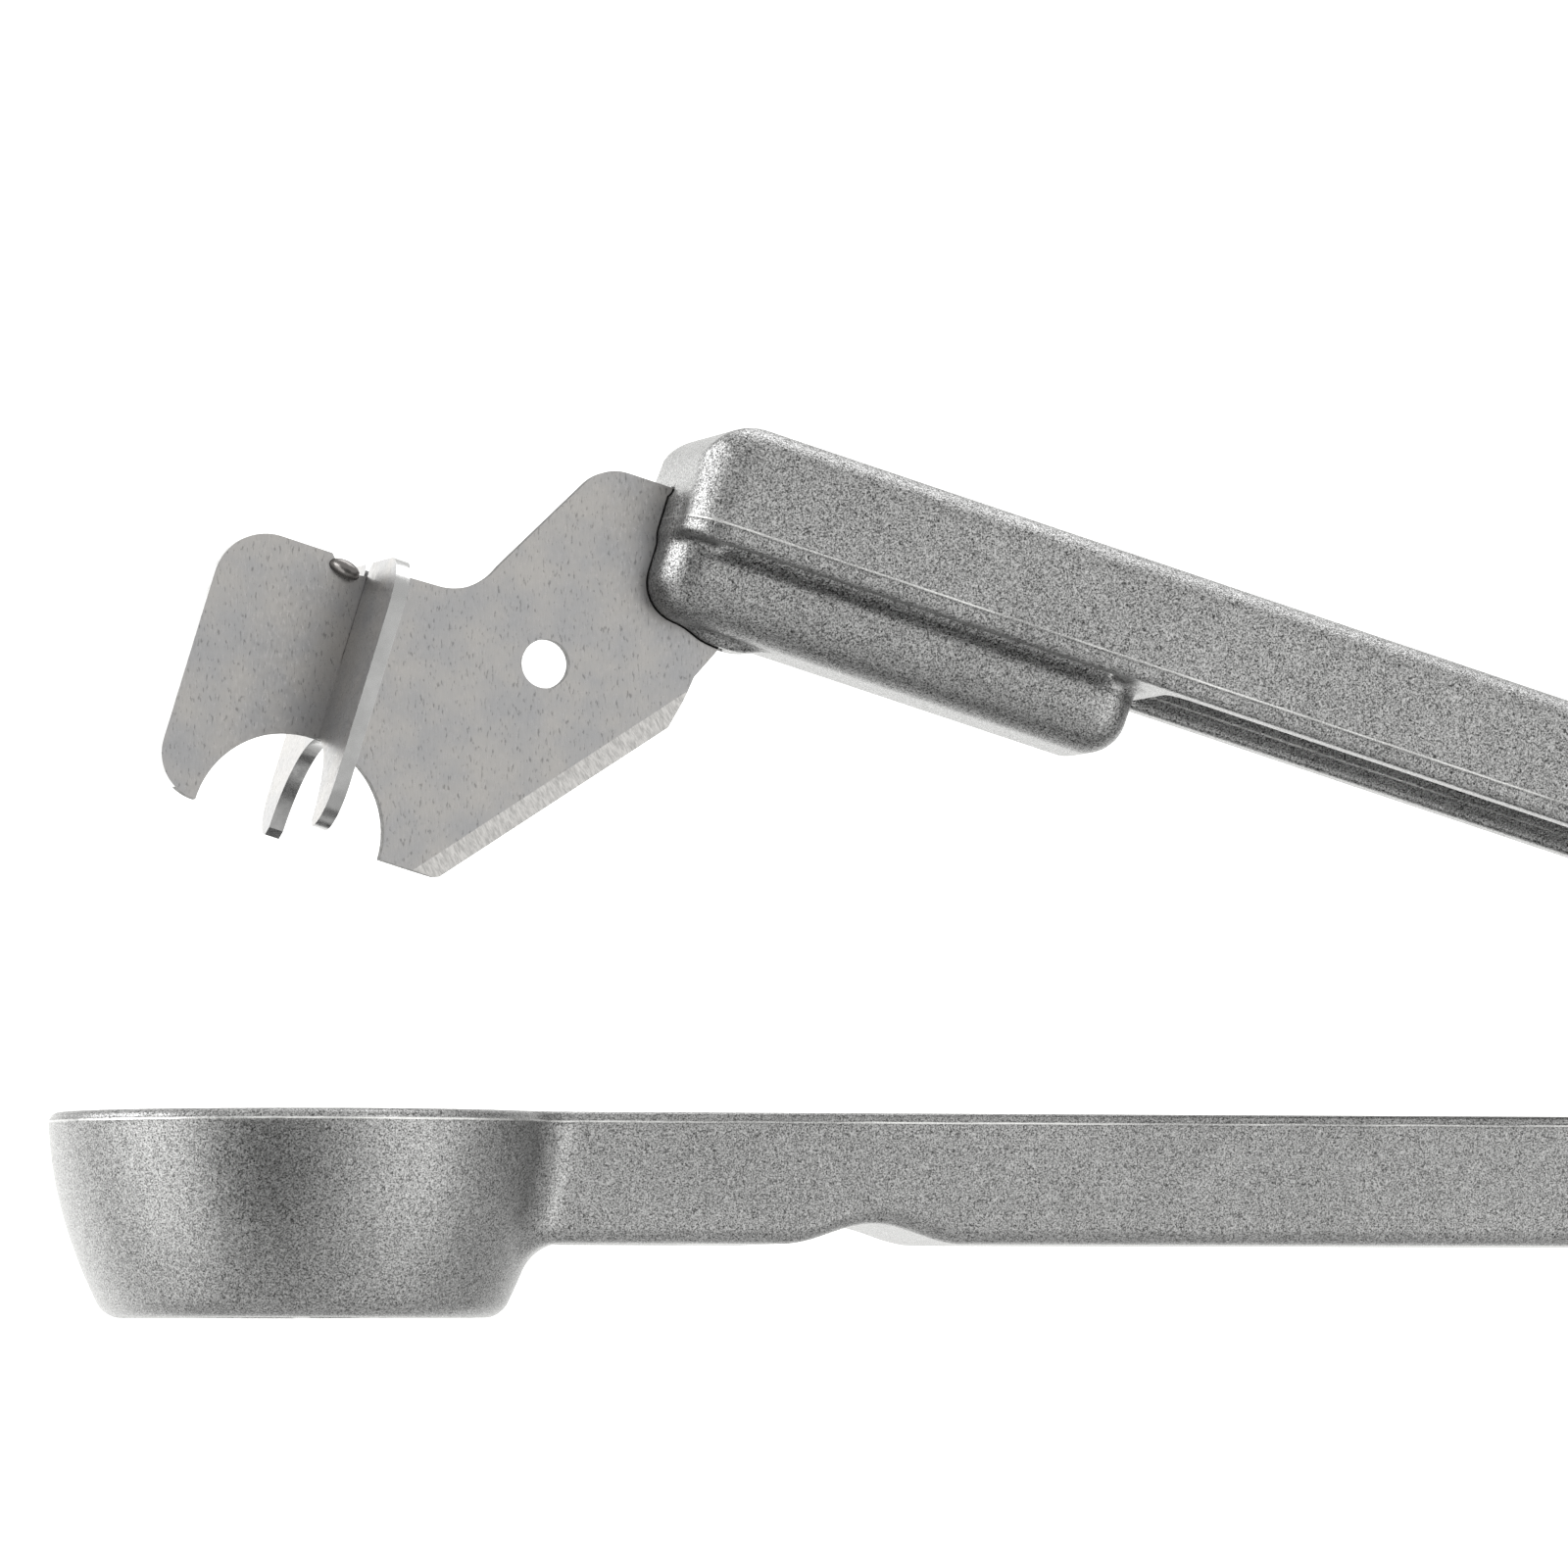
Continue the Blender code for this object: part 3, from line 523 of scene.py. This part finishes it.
lower_casting = casting_material("lower_casting", grain_size=0.11, relief=0.5, contrast=1.25,
                                 parting=(0.0, LOWER_PARTING_HEIGHT))
upper_casting = casting_material("upper_casting", grain_size=0.125, relief=0.8, contrast=1.4,
                                 parting=(REST_OPENING, PARTING_HEIGHT))
stainless = plate_material()
ground_edge = ground_material()
sheared_edge = steel_material("sheared_edge", (0.10, 0.098, 0.095), 0.45, 2500.0)
bright_edge = steel_material("bright_edge", (0.46, 0.46, 0.46), 0.22, 1500.0)
bent_steel = steel_material("bent_steel", (0.20, 0.19, 0.185), 0.22, 1500.0)
seam_shadow = steel_material("seam_shadow", (0.02, 0.02, 0.02), 0.60, 2500.0)
plated_steel = steel_material("plated_steel", (0.62, 0.62, 0.61), 0.26, 2500.0)
spring_wire = steel_material("spring_wire", (0.42, 0.41, 0.40), 0.34, 4000.0)

# ---------------------------------------------------------------- castings

fine = 0.42
coarse = 1.1
cup_front = -REACH - CUP_RADIUS - 1.0
lower_x = spaced(cup_front, -REACH + 52.0, fine, -20.0, coarse, 11.0, fine)
lower_y = both_sides(spaced(0.25, 1.05, 0.4, 1.35, 0.15, 20.0, fine))
lower_z = spaced(-CUP_HEIGHT - 1.0, -2.0, fine, -1.3, 0.23, -0.2, 0.11, 1.0, 0.3, 8.0, fine)
lower_arm = cast_piece("lower_arm_casting", lower_arm_field, lower_x, lower_y, lower_z)
place(lower_arm, 0.0, "lower", "lower_arm", "casting", lower_casting)

upper_x = spaced(BODY_FRONT - REACH - 0.6, BOSS_REAR + 5.0 - REACH, fine, -12.0, coarse, 10.4, fine)
upper_y = both_sides(spaced(0.25, 0.59, 0.34, 0.87, 0.07, 1.3, 0.215, 10.9, fine))
upper_z = spaced(-10.3, 0.0, fine, 1.2, 0.24, 1.8, 0.1, 2.2, 0.2, 10.3, fine)
upper_arm = cast_piece("upper_arm_casting", upper_arm_field, upper_x, upper_y, upper_z)
place(upper_arm, REST_OPENING, "upper", "upper_arm", "casting", upper_casting)


def solid_object(name, bm, sharp_angle):
    """Object from a bmesh in millimetres."""
    bmesh.ops.scale(bm, vec=(MM, MM, MM), verts=bm.verts)
    mesh = bpy.data.meshes.new(name)
    bm.to_mesh(mesh)
    bm.free()
    mesh.shade_smooth()
    mesh.set_sharp_from_angle(angle=math.radians(sharp_angle))
    obj = bpy.data.objects.new(name, mesh)
    bpy.context.scene.collection.objects.link(obj)
    return obj


# ---------------------------------------------------------------- blades

def arc(centre, radius, start, end, steps):
    points = []
    for step in range(steps + 1):
        angle = math.radians(start + (end - start) * step / steps)
        points.append((centre[0] + radius * math.cos(angle), centre[1] + radius * math.sin(angle)))
    return points


def stone_arch(steps):
    """Half ellipse that a plum stone leaves room for, at the tips of both blades."""
    half, height = 7.2, 7.0
    return [(half * math.cos(math.pi * step / steps),
             height * math.sin(math.pi * step / steps) - BLADE_DEPTH) for step in range(steps + 1)]


def main_outline():
    """Side view in the blade's own axes, along the arm and up."""
    lobe = [(TANG_END, 12.8), (16.6, 12.8)] + arc((16.6, 9.5), 3.3, 100, 152, 12)
    saddle = arc((5.3, 4.75), 4.3, -20, -88, 16)
    notch = [(1.6, 0.30), (1.2, 0.1), (0.4, -0.5), (-0.6, -0.68), (-1.6, -0.62), (-2.3, -0.25), (-2.8, 0.3)]
    shoulder = arc((-6.75, -3.7), 4.0, 90, 180, 22)
    front_tip = arc((-7.25, -16.5), 3.5, 180, 270, 16)
    arch = stone_arch(40)[::-1]
    edge = [(11.4, -BLADE_DEPTH), EDGE_START, EDGE_END, (25.5, -2.0), (25.75, 0.0)]
    heel = [(26.7, 2.06), (27.35, 3.6), (TANG_END, 6.1)]
    return lobe + saddle + notch + shoulder + front_tip + arch + edge + heel


def cross_outline():
    """Front view, across the tool and up."""
    right_top = arc((CROSS_BLADE_HALF - 4.0, -3.5), 4.0, 90, 0, 22)
    right_tip = arc((CROSS_BLADE_HALF - 3.5, -16.5), 3.5, 0, -90, 16)
    slot = BLADE_HALF_THICKNESS + 0.12
    right = [(slot, -7.2), (slot, 0.0), (slot + 0.5, 0.5)] + right_top + right_tip
    left = [(-y, z) for y, z in reversed(right)]
    return right + stone_arch(40)[1:-1] + left


def sheet_mesh(outline, holes):
    """Flat triangles inside the outline and outside the round holes."""
    points = [Vector(point) for point in outline]
    edges = [(index, (index + 1) % len(points)) for index in range(len(points))]
    for centre, radius in holes:
        first = len(points)
        ring = arc(centre, radius, 0, 360, 40)[:-1]
        points += [Vector(point) for point in ring]
        edges += [(first + index, first + (index + 1) % len(ring)) for index in range(len(ring))]
    flat, _, faces, _, _, _ = delaunay_2d_cdt(points, edges, [], 1, 1e-5)
    bm = bmesh.new()
    verts = [bm.verts.new((point.x, point.y, 0.0)) for point in flat]
    for face in faces:
        middle = sum((flat[index] for index in face), Vector((0.0, 0.0))) / len(face)
        if all((middle - Vector(centre)).length > radius for centre, radius in holes):
            bm.faces.new([verts[index] for index in face])
    bmesh.ops.delete(bm, geom=[vert for vert in bm.verts if not vert.link_faces], context="VERTS")
    bm.normal_update()
    return bm


# Material slots of a plate. A rim ahead of polished_before takes the last one.
FLAT_SLOT, RIM_SLOT, GROUND_SLOT, POLISHED_SLOT = range(4)


def sheet_piece(name, outline, half, edges, chamfer, to_place, holes=(), polished_before=-99.0):
    """Plate with ground edges. Each ground edge is two points, the bevel's width and its land."""
    bm = sheet_mesh(outline, holes)
    for start, end, width, _ in edges:
        along = (Vector(end) - Vector(start)).normalized()
        inward = Vector((-along.y, along.x))
        point = Vector(start) + inward * width
        bmesh.ops.bisect_plane(bm, geom=bm.verts[:] + bm.edges[:] + bm.faces[:],
                               plane_co=(point.x, point.y, 0.0), plane_no=(inward.x, inward.y, 0.0))

    def thickness(u, v):
        result = half
        for start, end, width, land in edges:
            along = (Vector(end) - Vector(start)).normalized()
            inward = Vector((-along.y, along.x))
            distance = (Vector((u, v)) - Vector(start)).dot(inward)
            result = min(result, max(land + (half - land) * distance / width, land))
        return result

    grown = bmesh.ops.extrude_face_region(bm, geom=bm.faces[:], use_keep_orig=True)
    upper = {item for item in grown["geom"] if isinstance(item, bmesh.types.BMVert)}
    for vert in bm.verts:
        depth = thickness(vert.co.x, vert.co.y)
        vert.co.z = depth if vert in upper else -depth
    bmesh.ops.recalc_face_normals(bm, faces=bm.faces[:])
    corner = []
    for edge in bm.edges:
        if len(edge.link_faces) == 2:
            first, second = edge.link_faces
            if (abs(first.normal.z) > 0.7) != (abs(second.normal.z) > 0.7):
                corner.append(edge)
    bmesh.ops.bevel(bm, geom=corner, offset=chamfer, segments=2, affect="EDGES", profile=0.6,
                    clamp_overlap=True)
    bm.normal_update()
    for face in bm.faces:
        if abs(face.normal.z) < 0.9:
            polished = face.calc_center_median().x < polished_before
            face.material_index = POLISHED_SLOT if polished else RIM_SLOT
        elif abs(face.normal.z) < 0.995 and edges:
            face.material_index = GROUND_SLOT
    for vert in bm.verts:
        vert.co = to_place(vert.co)
    bmesh.ops.triangulate(bm, faces=bm.faces[:])
    bmesh.ops.recalc_face_normals(bm, faces=bm.faces[:])
    return solid_object(name, bm, 8.0)


def along_arm(point):
    return Vector((point.x - REACH, -point.z, point.y - BLADE_AXIS_DROP))


def across_arm(point):
    return Vector((CROSS_BLADE_SHIFT - REACH + point.z, point.x, point.y - BLADE_AXIS_DROP))


def tube(name, path, radii, steps, squeeze=1.0, sharp_angle=40.0):
    """Round bar along a path, closed at both ends. Squeeze flattens it across the path's frame."""
    points = [Vector(point) for point in path]
    bm = bmesh.new()
    rings = []
    guide = Vector((0.0, 0.0, 1.0))
    for index, point in enumerate(points):
        before, after = points[max(index - 1, 0)], points[min(index + 1, len(points) - 1)]
        along = (after - before).normalized()
        guide = (guide - along * guide.dot(along)).normalized()
        across = along.cross(guide)
        ring = []
        for step in range(steps):
            angle = math.tau * step / steps
            offset = guide * math.cos(angle) * squeeze + across * math.sin(angle)
            ring.append(bm.verts.new(point + offset * radii[index]))
        rings.append(ring)
    for ring, following in zip(rings, rings[1:]):
        for index in range(steps):
            after = (index + 1) % steps
            bm.faces.new((ring[index], ring[after], following[after], following[index]))
    bm.faces.new(rings[0])
    bm.faces.new(rings[-1])
    bmesh.ops.recalc_face_normals(bm, faces=bm.faces[:])
    return solid_object(name, bm, sharp_angle)


def turned(name, profile, steps, sharp_angle=30.0):
    """Radius and Y profile spun about the hinge axis."""
    bm = bmesh.new()
    rings = []
    for radius, y in profile:
        if radius == 0.0:
            rings.append([bm.verts.new((0.0, y, 0.0))] * steps)
        else:
            angles = [math.tau * step / steps for step in range(steps)]
            rings.append([bm.verts.new((radius * math.cos(angle), y, radius * math.sin(angle)))
                          for angle in angles])
    pairs = list(zip(rings, rings[1:]))
    if profile[0][0] > 0.0:
        pairs.append((rings[-1], rings[0]))
    for ring, following in pairs:
        for index in range(steps):
            after = (index + 1) % steps
            corners = [ring[index], ring[after], following[after], following[index]]
            unique = [vert for position, vert in enumerate(corners) if vert not in corners[:position]]
            bm.faces.new(unique)
    bmesh.ops.recalc_face_normals(bm, faces=bm.faces[:])
    return solid_object(name, bm, sharp_angle)


def crimp_piece():
    """Tab of the main blade's notch, curled over to the side against the cross blade."""
    path = [(-2.6, 0.0, -0.45), (-2.35, -0.3, -0.42), (-2.05, -0.62, -0.46), (-1.7, -0.9, -0.55),
            (-1.35, -1.1, -0.66), (-1.05, -1.25, -0.75), (-0.8, -1.35, -0.8), (-0.62, -1.38, -0.78)]
    radii = [0.40, 0.60, 0.72, 0.78, 0.76, 0.66, 0.52, 0.32]
    smooth, widths = [], []
    for index in range(len(path) - 1):
        for share in (0.0, 0.25, 0.5, 0.75):
            start, end = Vector(path[index]), Vector(path[index + 1])
            smooth.append(start.lerp(end, share))
            widths.append(radii[index] + (radii[index + 1] - radii[index]) * share)
    smooth.append(Vector(path[-1]))
    widths.append(radii[-1])
    for _ in range(4):
        inner = [(a + 2.0 * b + c) / 4.0 for a, b, c in zip(smooth, smooth[1:], smooth[2:])]
        smooth = [smooth[0]] + inner + [smooth[-1]]
    placed = [Vector((u - REACH, y, v - BLADE_AXIS_DROP)) for u, y, v in smooth]
    return tube("main_blade_crimp", placed, widths, 24, 0.8)


def seam_path(side):
    """Line where the boss of the upper arm meets the face of the plate.

    It is found by halving, on rays from a point inside the boss.
    """
    start_x = 27.5 - REACH
    angles = np.radians(np.linspace(152.0, 264.0, 90))
    low = np.full(angles.shape, 1.0)
    high = np.full(angles.shape, 12.0)
    beside_plate = np.full(angles.shape, 0.8)
    for _ in range(40):
        middle = 0.5 * (low + high)
        inside = upper_arm_field(start_x + middle * np.cos(angles), beside_plate,
                                 middle * np.sin(angles)) < 0.0
        low = np.where(inside, middle, low)
        high = np.where(inside, high, middle)
    y = side * (BLADE_HALF_THICKNESS + 0.02)
    return [Vector((start_x + reach * math.cos(angle), y, reach * math.sin(angle)))
            for reach, angle in zip(low + 0.04, angles)]


long_edge = (EDGE_START, EDGE_END, 1.5, 0.2)
main_blade = sheet_piece("main_blade_plate", main_outline(), BLADE_HALF_THICKNESS, [long_edge], 0.07,
                         along_arm, [HANGING_HOLE], polished_before=-9.0)
crimp = crimp_piece()
cross_blade = sheet_piece("cross_blade_plate", cross_outline(), BLADE_HALF_THICKNESS, [], 0.24,
                          across_arm)
# Painted shadow: thin near-black tubes along both faces of the plate, where it enters the boss, stand in
# for the shade in the gap.
for label, side in (("near", -1.0), ("far", 1.0)):
    seam_points = seam_path(side)
    seam = tube("main_blade_gap_shadow_" + label, seam_points, [0.065] * len(seam_points), 8)
    place(seam, REST_OPENING, "upper", "main_blade", "stainless_plate", seam_shadow)
place(main_blade, REST_OPENING, "upper", "main_blade", "stainless_plate", stainless, sheared_edge,
      ground_edge, bright_edge)
place(crimp, REST_OPENING, "upper", "main_blade", "stainless_plate", bent_steel)
place(cross_blade, REST_OPENING, "upper", "cross_blade", "stainless_plate", stainless, bright_edge)

# ---------------------------------------------------------------- hinge hardware

def rounded_profile(corners, radius, steps):
    """Profile with each inner corner replaced by a small arc."""
    result = [corners[0]]
    for before, corner, after in zip(corners, corners[1:], corners[2:]):
        here = Vector(corner)
        start = here + (Vector(before) - here).normalized() * radius
        end = here + (Vector(after) - here).normalized() * radius
        for step in range(steps + 1):
            share = step / steps
            point = (1.0 - share) ** 2 * start + 2.0 * share * (1.0 - share) * here + share ** 2 * end
            result.append((point.x, point.y))
    result.append(corners[-1])
    return result


COIL_RADIUS = 3.0
COIL_TURNS = 3
COIL_PITCH = 1.35
COIL_STEPS = 150
LEG_LENGTH = 25.0
LEG_STEPS = 20
SPRING_WIRE_RADIUS = 0.6


def spring_path():
    """Lower leg, three turns about the pin and upper leg, tangent to each other."""
    lower_leg, upper_leg = math.radians(8.0), math.radians(REST_OPENING + 7.0)
    first = lower_leg - math.pi / 2
    last = math.pi / 2 - upper_leg + math.tau * COIL_TURNS
    width = COIL_PITCH * (last - first) / math.tau
    coil = []
    for step in range(COIL_STEPS + 1):
        share = step / COIL_STEPS
        angle = first + (last - first) * share
        coil.append(Vector((COIL_RADIUS * math.cos(angle), width * (share - 0.5),
                            COIL_RADIUS * math.sin(angle))))
    down = Vector((-math.cos(lower_leg), 0.0, -math.sin(lower_leg)))
    up = Vector((-math.cos(upper_leg), 0.0, math.sin(upper_leg)))
    lower = [coil[0] + down * (LEG_LENGTH * step / LEG_STEPS) for step in range(LEG_STEPS, 0, -1)]
    upper = [coil[-1] + up * (LEG_LENGTH * step / LEG_STEPS) for step in range(1, LEG_STEPS + 1)]
    return lower + coil + upper


HEAD_RADIUS = 3.6
HEAD_RIM = 0.5
HEAD_RISE = 1.4
WASHER_RADIUS = 4.0
WASHER_HOLE = 2.1
WASHER_HEIGHT = 0.58
WASHER_CHAMFER = 0.12

seat = FLANGE_HALF + 0.15
dome = [(HEAD_RADIUS * math.cos(math.radians(angle)),
         -seat - HEAD_RIM - HEAD_RISE * math.sin(math.radians(angle))) for angle in range(80, -1, -8)]
tail = rounded_profile([(PIN_RADIUS, seat + 0.6), (2.9, seat + 0.6), (3.0, seat + 1.2), (1.5, seat + 1.85),
                        (0.9, seat + 1.55), (0.0, seat + 1.5)], 0.12, 3)
pin = turned("pivot_rivet", [(0.0, -seat - HEAD_RIM - HEAD_RISE)] + dome
             + [(HEAD_RADIUS, -seat), (PIN_RADIUS, -seat)] + tail, 64)
washer = turned("pivot_washer_ring",
                [(WASHER_HOLE, seat), (WASHER_RADIUS - 0.15, seat), (WASHER_RADIUS, seat + WASHER_CHAMFER),
                 (WASHER_RADIUS, seat + WASHER_HEIGHT - WASHER_CHAMFER),
                 (WASHER_RADIUS - 0.15, seat + WASHER_HEIGHT), (WASHER_HOLE, seat + WASHER_HEIGHT)], 64)
spring_points = spring_path()
spring = tube("spring_coil", spring_points, [SPRING_WIRE_RADIUS] * len(spring_points), 14)
place(pin, 0.0, "lower", "pivot_pin", "plated_steel", plated_steel)
place(washer, 0.0, "lower", "pivot_washer", "plated_steel", plated_steel)
spring.data.transform(Matrix.Translation(hinge))
spring.data.materials.append(spring_wire)
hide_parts("torsion_spring")
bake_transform(spring)

# ---------------------------------------------------------------- studio

STAGE_DROP = 0.12        # the tool is held up clear of the floor
FLOOR_HALF = 7.0
FLOOR_LEVEL = 0.85
TOP_LEVEL = 0.95
LIFT_START, LIFT_END = 0.14, 0.45       # the surroundings turn into the level above
SINK_START, SINK_END = -0.45, -0.75     # and into the floor's level below
# Brightness of the surroundings by direction: 0 degrees is -Y and 90 degrees is +X.
SURROUNDINGS = [(-180.0, 1.8), (-158.0, 2.0), (-142.0, 2.1), (-128.0, 1.2), (-106.0, 1.2), (-96.0, 2.3),
                (-66.0, 2.3), (-54.0, 0.3), (-6.0, 0.3), (5.0, 1.05), (24.0, 1.2), (36.0, 2.0), (54.0, 2.0),
                (68.0, 0.7), (122.0, 0.7), (140.0, 1.3), (180.0, 1.8)]
BRIGHTEST = max(level for _, level in SURROUNDINGS)
SOFTBOX_DISTANCE = 0.9


def area_light(name, direction, size, power):
    """Softbox that faces the tool. Its direction is an azimuth as above and an elevation."""
    data = bpy.data.lights.new(name, "AREA")
    data.shape = "RECTANGLE"
    data.size, data.size_y = size
    data.energy = power
    light = bpy.data.objects.new(name, data)
    bpy.context.scene.collection.objects.link(light)
    azimuth, elevation = (math.radians(angle) for angle in direction)
    away = Vector((math.sin(azimuth) * math.cos(elevation), -math.cos(azimuth) * math.cos(elevation),
                   math.sin(elevation)))
    light.location = Vector((0.0, 0.0, 0.03)) + away * SOFTBOX_DISTANCE
    light.rotation_euler = (-away).to_track_quat("-Z", "Y").to_euler()


def studio_world():
    """Surroundings whose brightness changes with the direction, plain above and below."""
    world = bpy.data.worlds.new("studio")
    bpy.context.scene.world = world
    world.use_nodes = True
    tree = world.node_tree
    background = tree.nodes["Background"]

    def calculate(operation, *values):
        node = tree.nodes.new("ShaderNodeMath")
        node.operation = operation
        for index, value in enumerate(values):
            if isinstance(value, bpy.types.NodeSocket):
                tree.links.new(value, node.inputs[index])
            else:
                node.inputs[index].default_value = value
        return node.outputs[0]

    split = tree.nodes.new("ShaderNodeSeparateXYZ")
    tree.links.new(tree.nodes.new("ShaderNodeTexCoord").outputs["Generated"], split.inputs[0])
    toward = calculate("MULTIPLY", split.outputs["Y"], -1.0)
    azimuth = calculate("ARCTAN2", split.outputs["X"], toward)
    turn = calculate("MULTIPLY_ADD", azimuth, 0.5 / math.pi, 0.5)
    ramp = tree.nodes.new("ShaderNodeValToRGB")
    tree.links.new(turn, ramp.inputs["Fac"])
    while len(ramp.color_ramp.elements) > 1:
        ramp.color_ramp.elements.remove(ramp.color_ramp.elements[-1])
    for index, (angle, level) in enumerate(SURROUNDINGS):
        place_on_ramp = 0.5 + angle / 360.0
        stop = ramp.color_ramp.elements[0] if index == 0 else ramp.color_ramp.elements.new(place_on_ramp)
        stop.position = place_on_ramp
        stop.color = (level / BRIGHTEST,) * 3 + (1.0,)
    around = calculate("MULTIPLY", ramp.outputs["Color"], BRIGHTEST)
    level = around
    for target, start, end in ((TOP_LEVEL, LIFT_START, LIFT_END), (FLOOR_LEVEL, SINK_START, SINK_END)):
        share = tree.nodes.new("ShaderNodeMapRange")
        share.interpolation_type = "SMOOTHSTEP"
        tree.links.new(split.outputs["Z"], share.inputs["Value"])
        share.inputs["From Min"].default_value = start
        share.inputs["From Max"].default_value = end
        change = calculate("SUBTRACT", target, level)
        level = calculate("MULTIPLY_ADD", change, share.outputs["Result"], level)
    tree.links.new(level, background.inputs["Strength"])
    background.inputs["Color"].default_value = (1.0, 1.0, 0.985, 1.0)


def stage_floor():
    """Plain pale floor. The castings mirror the surroundings instead of its colour."""
    bm = bmesh.new()
    bmesh.ops.create_grid(bm, x_segments=2, y_segments=2, size=FLOOR_HALF)
    mesh = bpy.data.meshes.new("floor")
    bm.to_mesh(mesh)
    bm.free()
    floor = bpy.data.objects.new("floor", mesh)
    bpy.context.scene.collection.objects.link(floor)
    floor.location.z = -STAGE_DROP
    material = bpy.data.materials.new("pale_floor")
    material.use_nodes = True
    shader = material.node_tree.nodes["Principled BSDF"]
    shader.inputs["Base Color"].default_value = (0.66, 0.66, 0.675, 1.0)
    shader.inputs["Roughness"].default_value = 0.9
    floor.data.materials.append(material)
    floor.visible_glossy = False


studio_world()
stage_floor()
area_light("overhead_softbox", (140.0, 68.0), (0.7, 0.5), 3.0)
area_light("left_softbox", (-100.0, 26.0), (0.75, 0.42), 4.2)
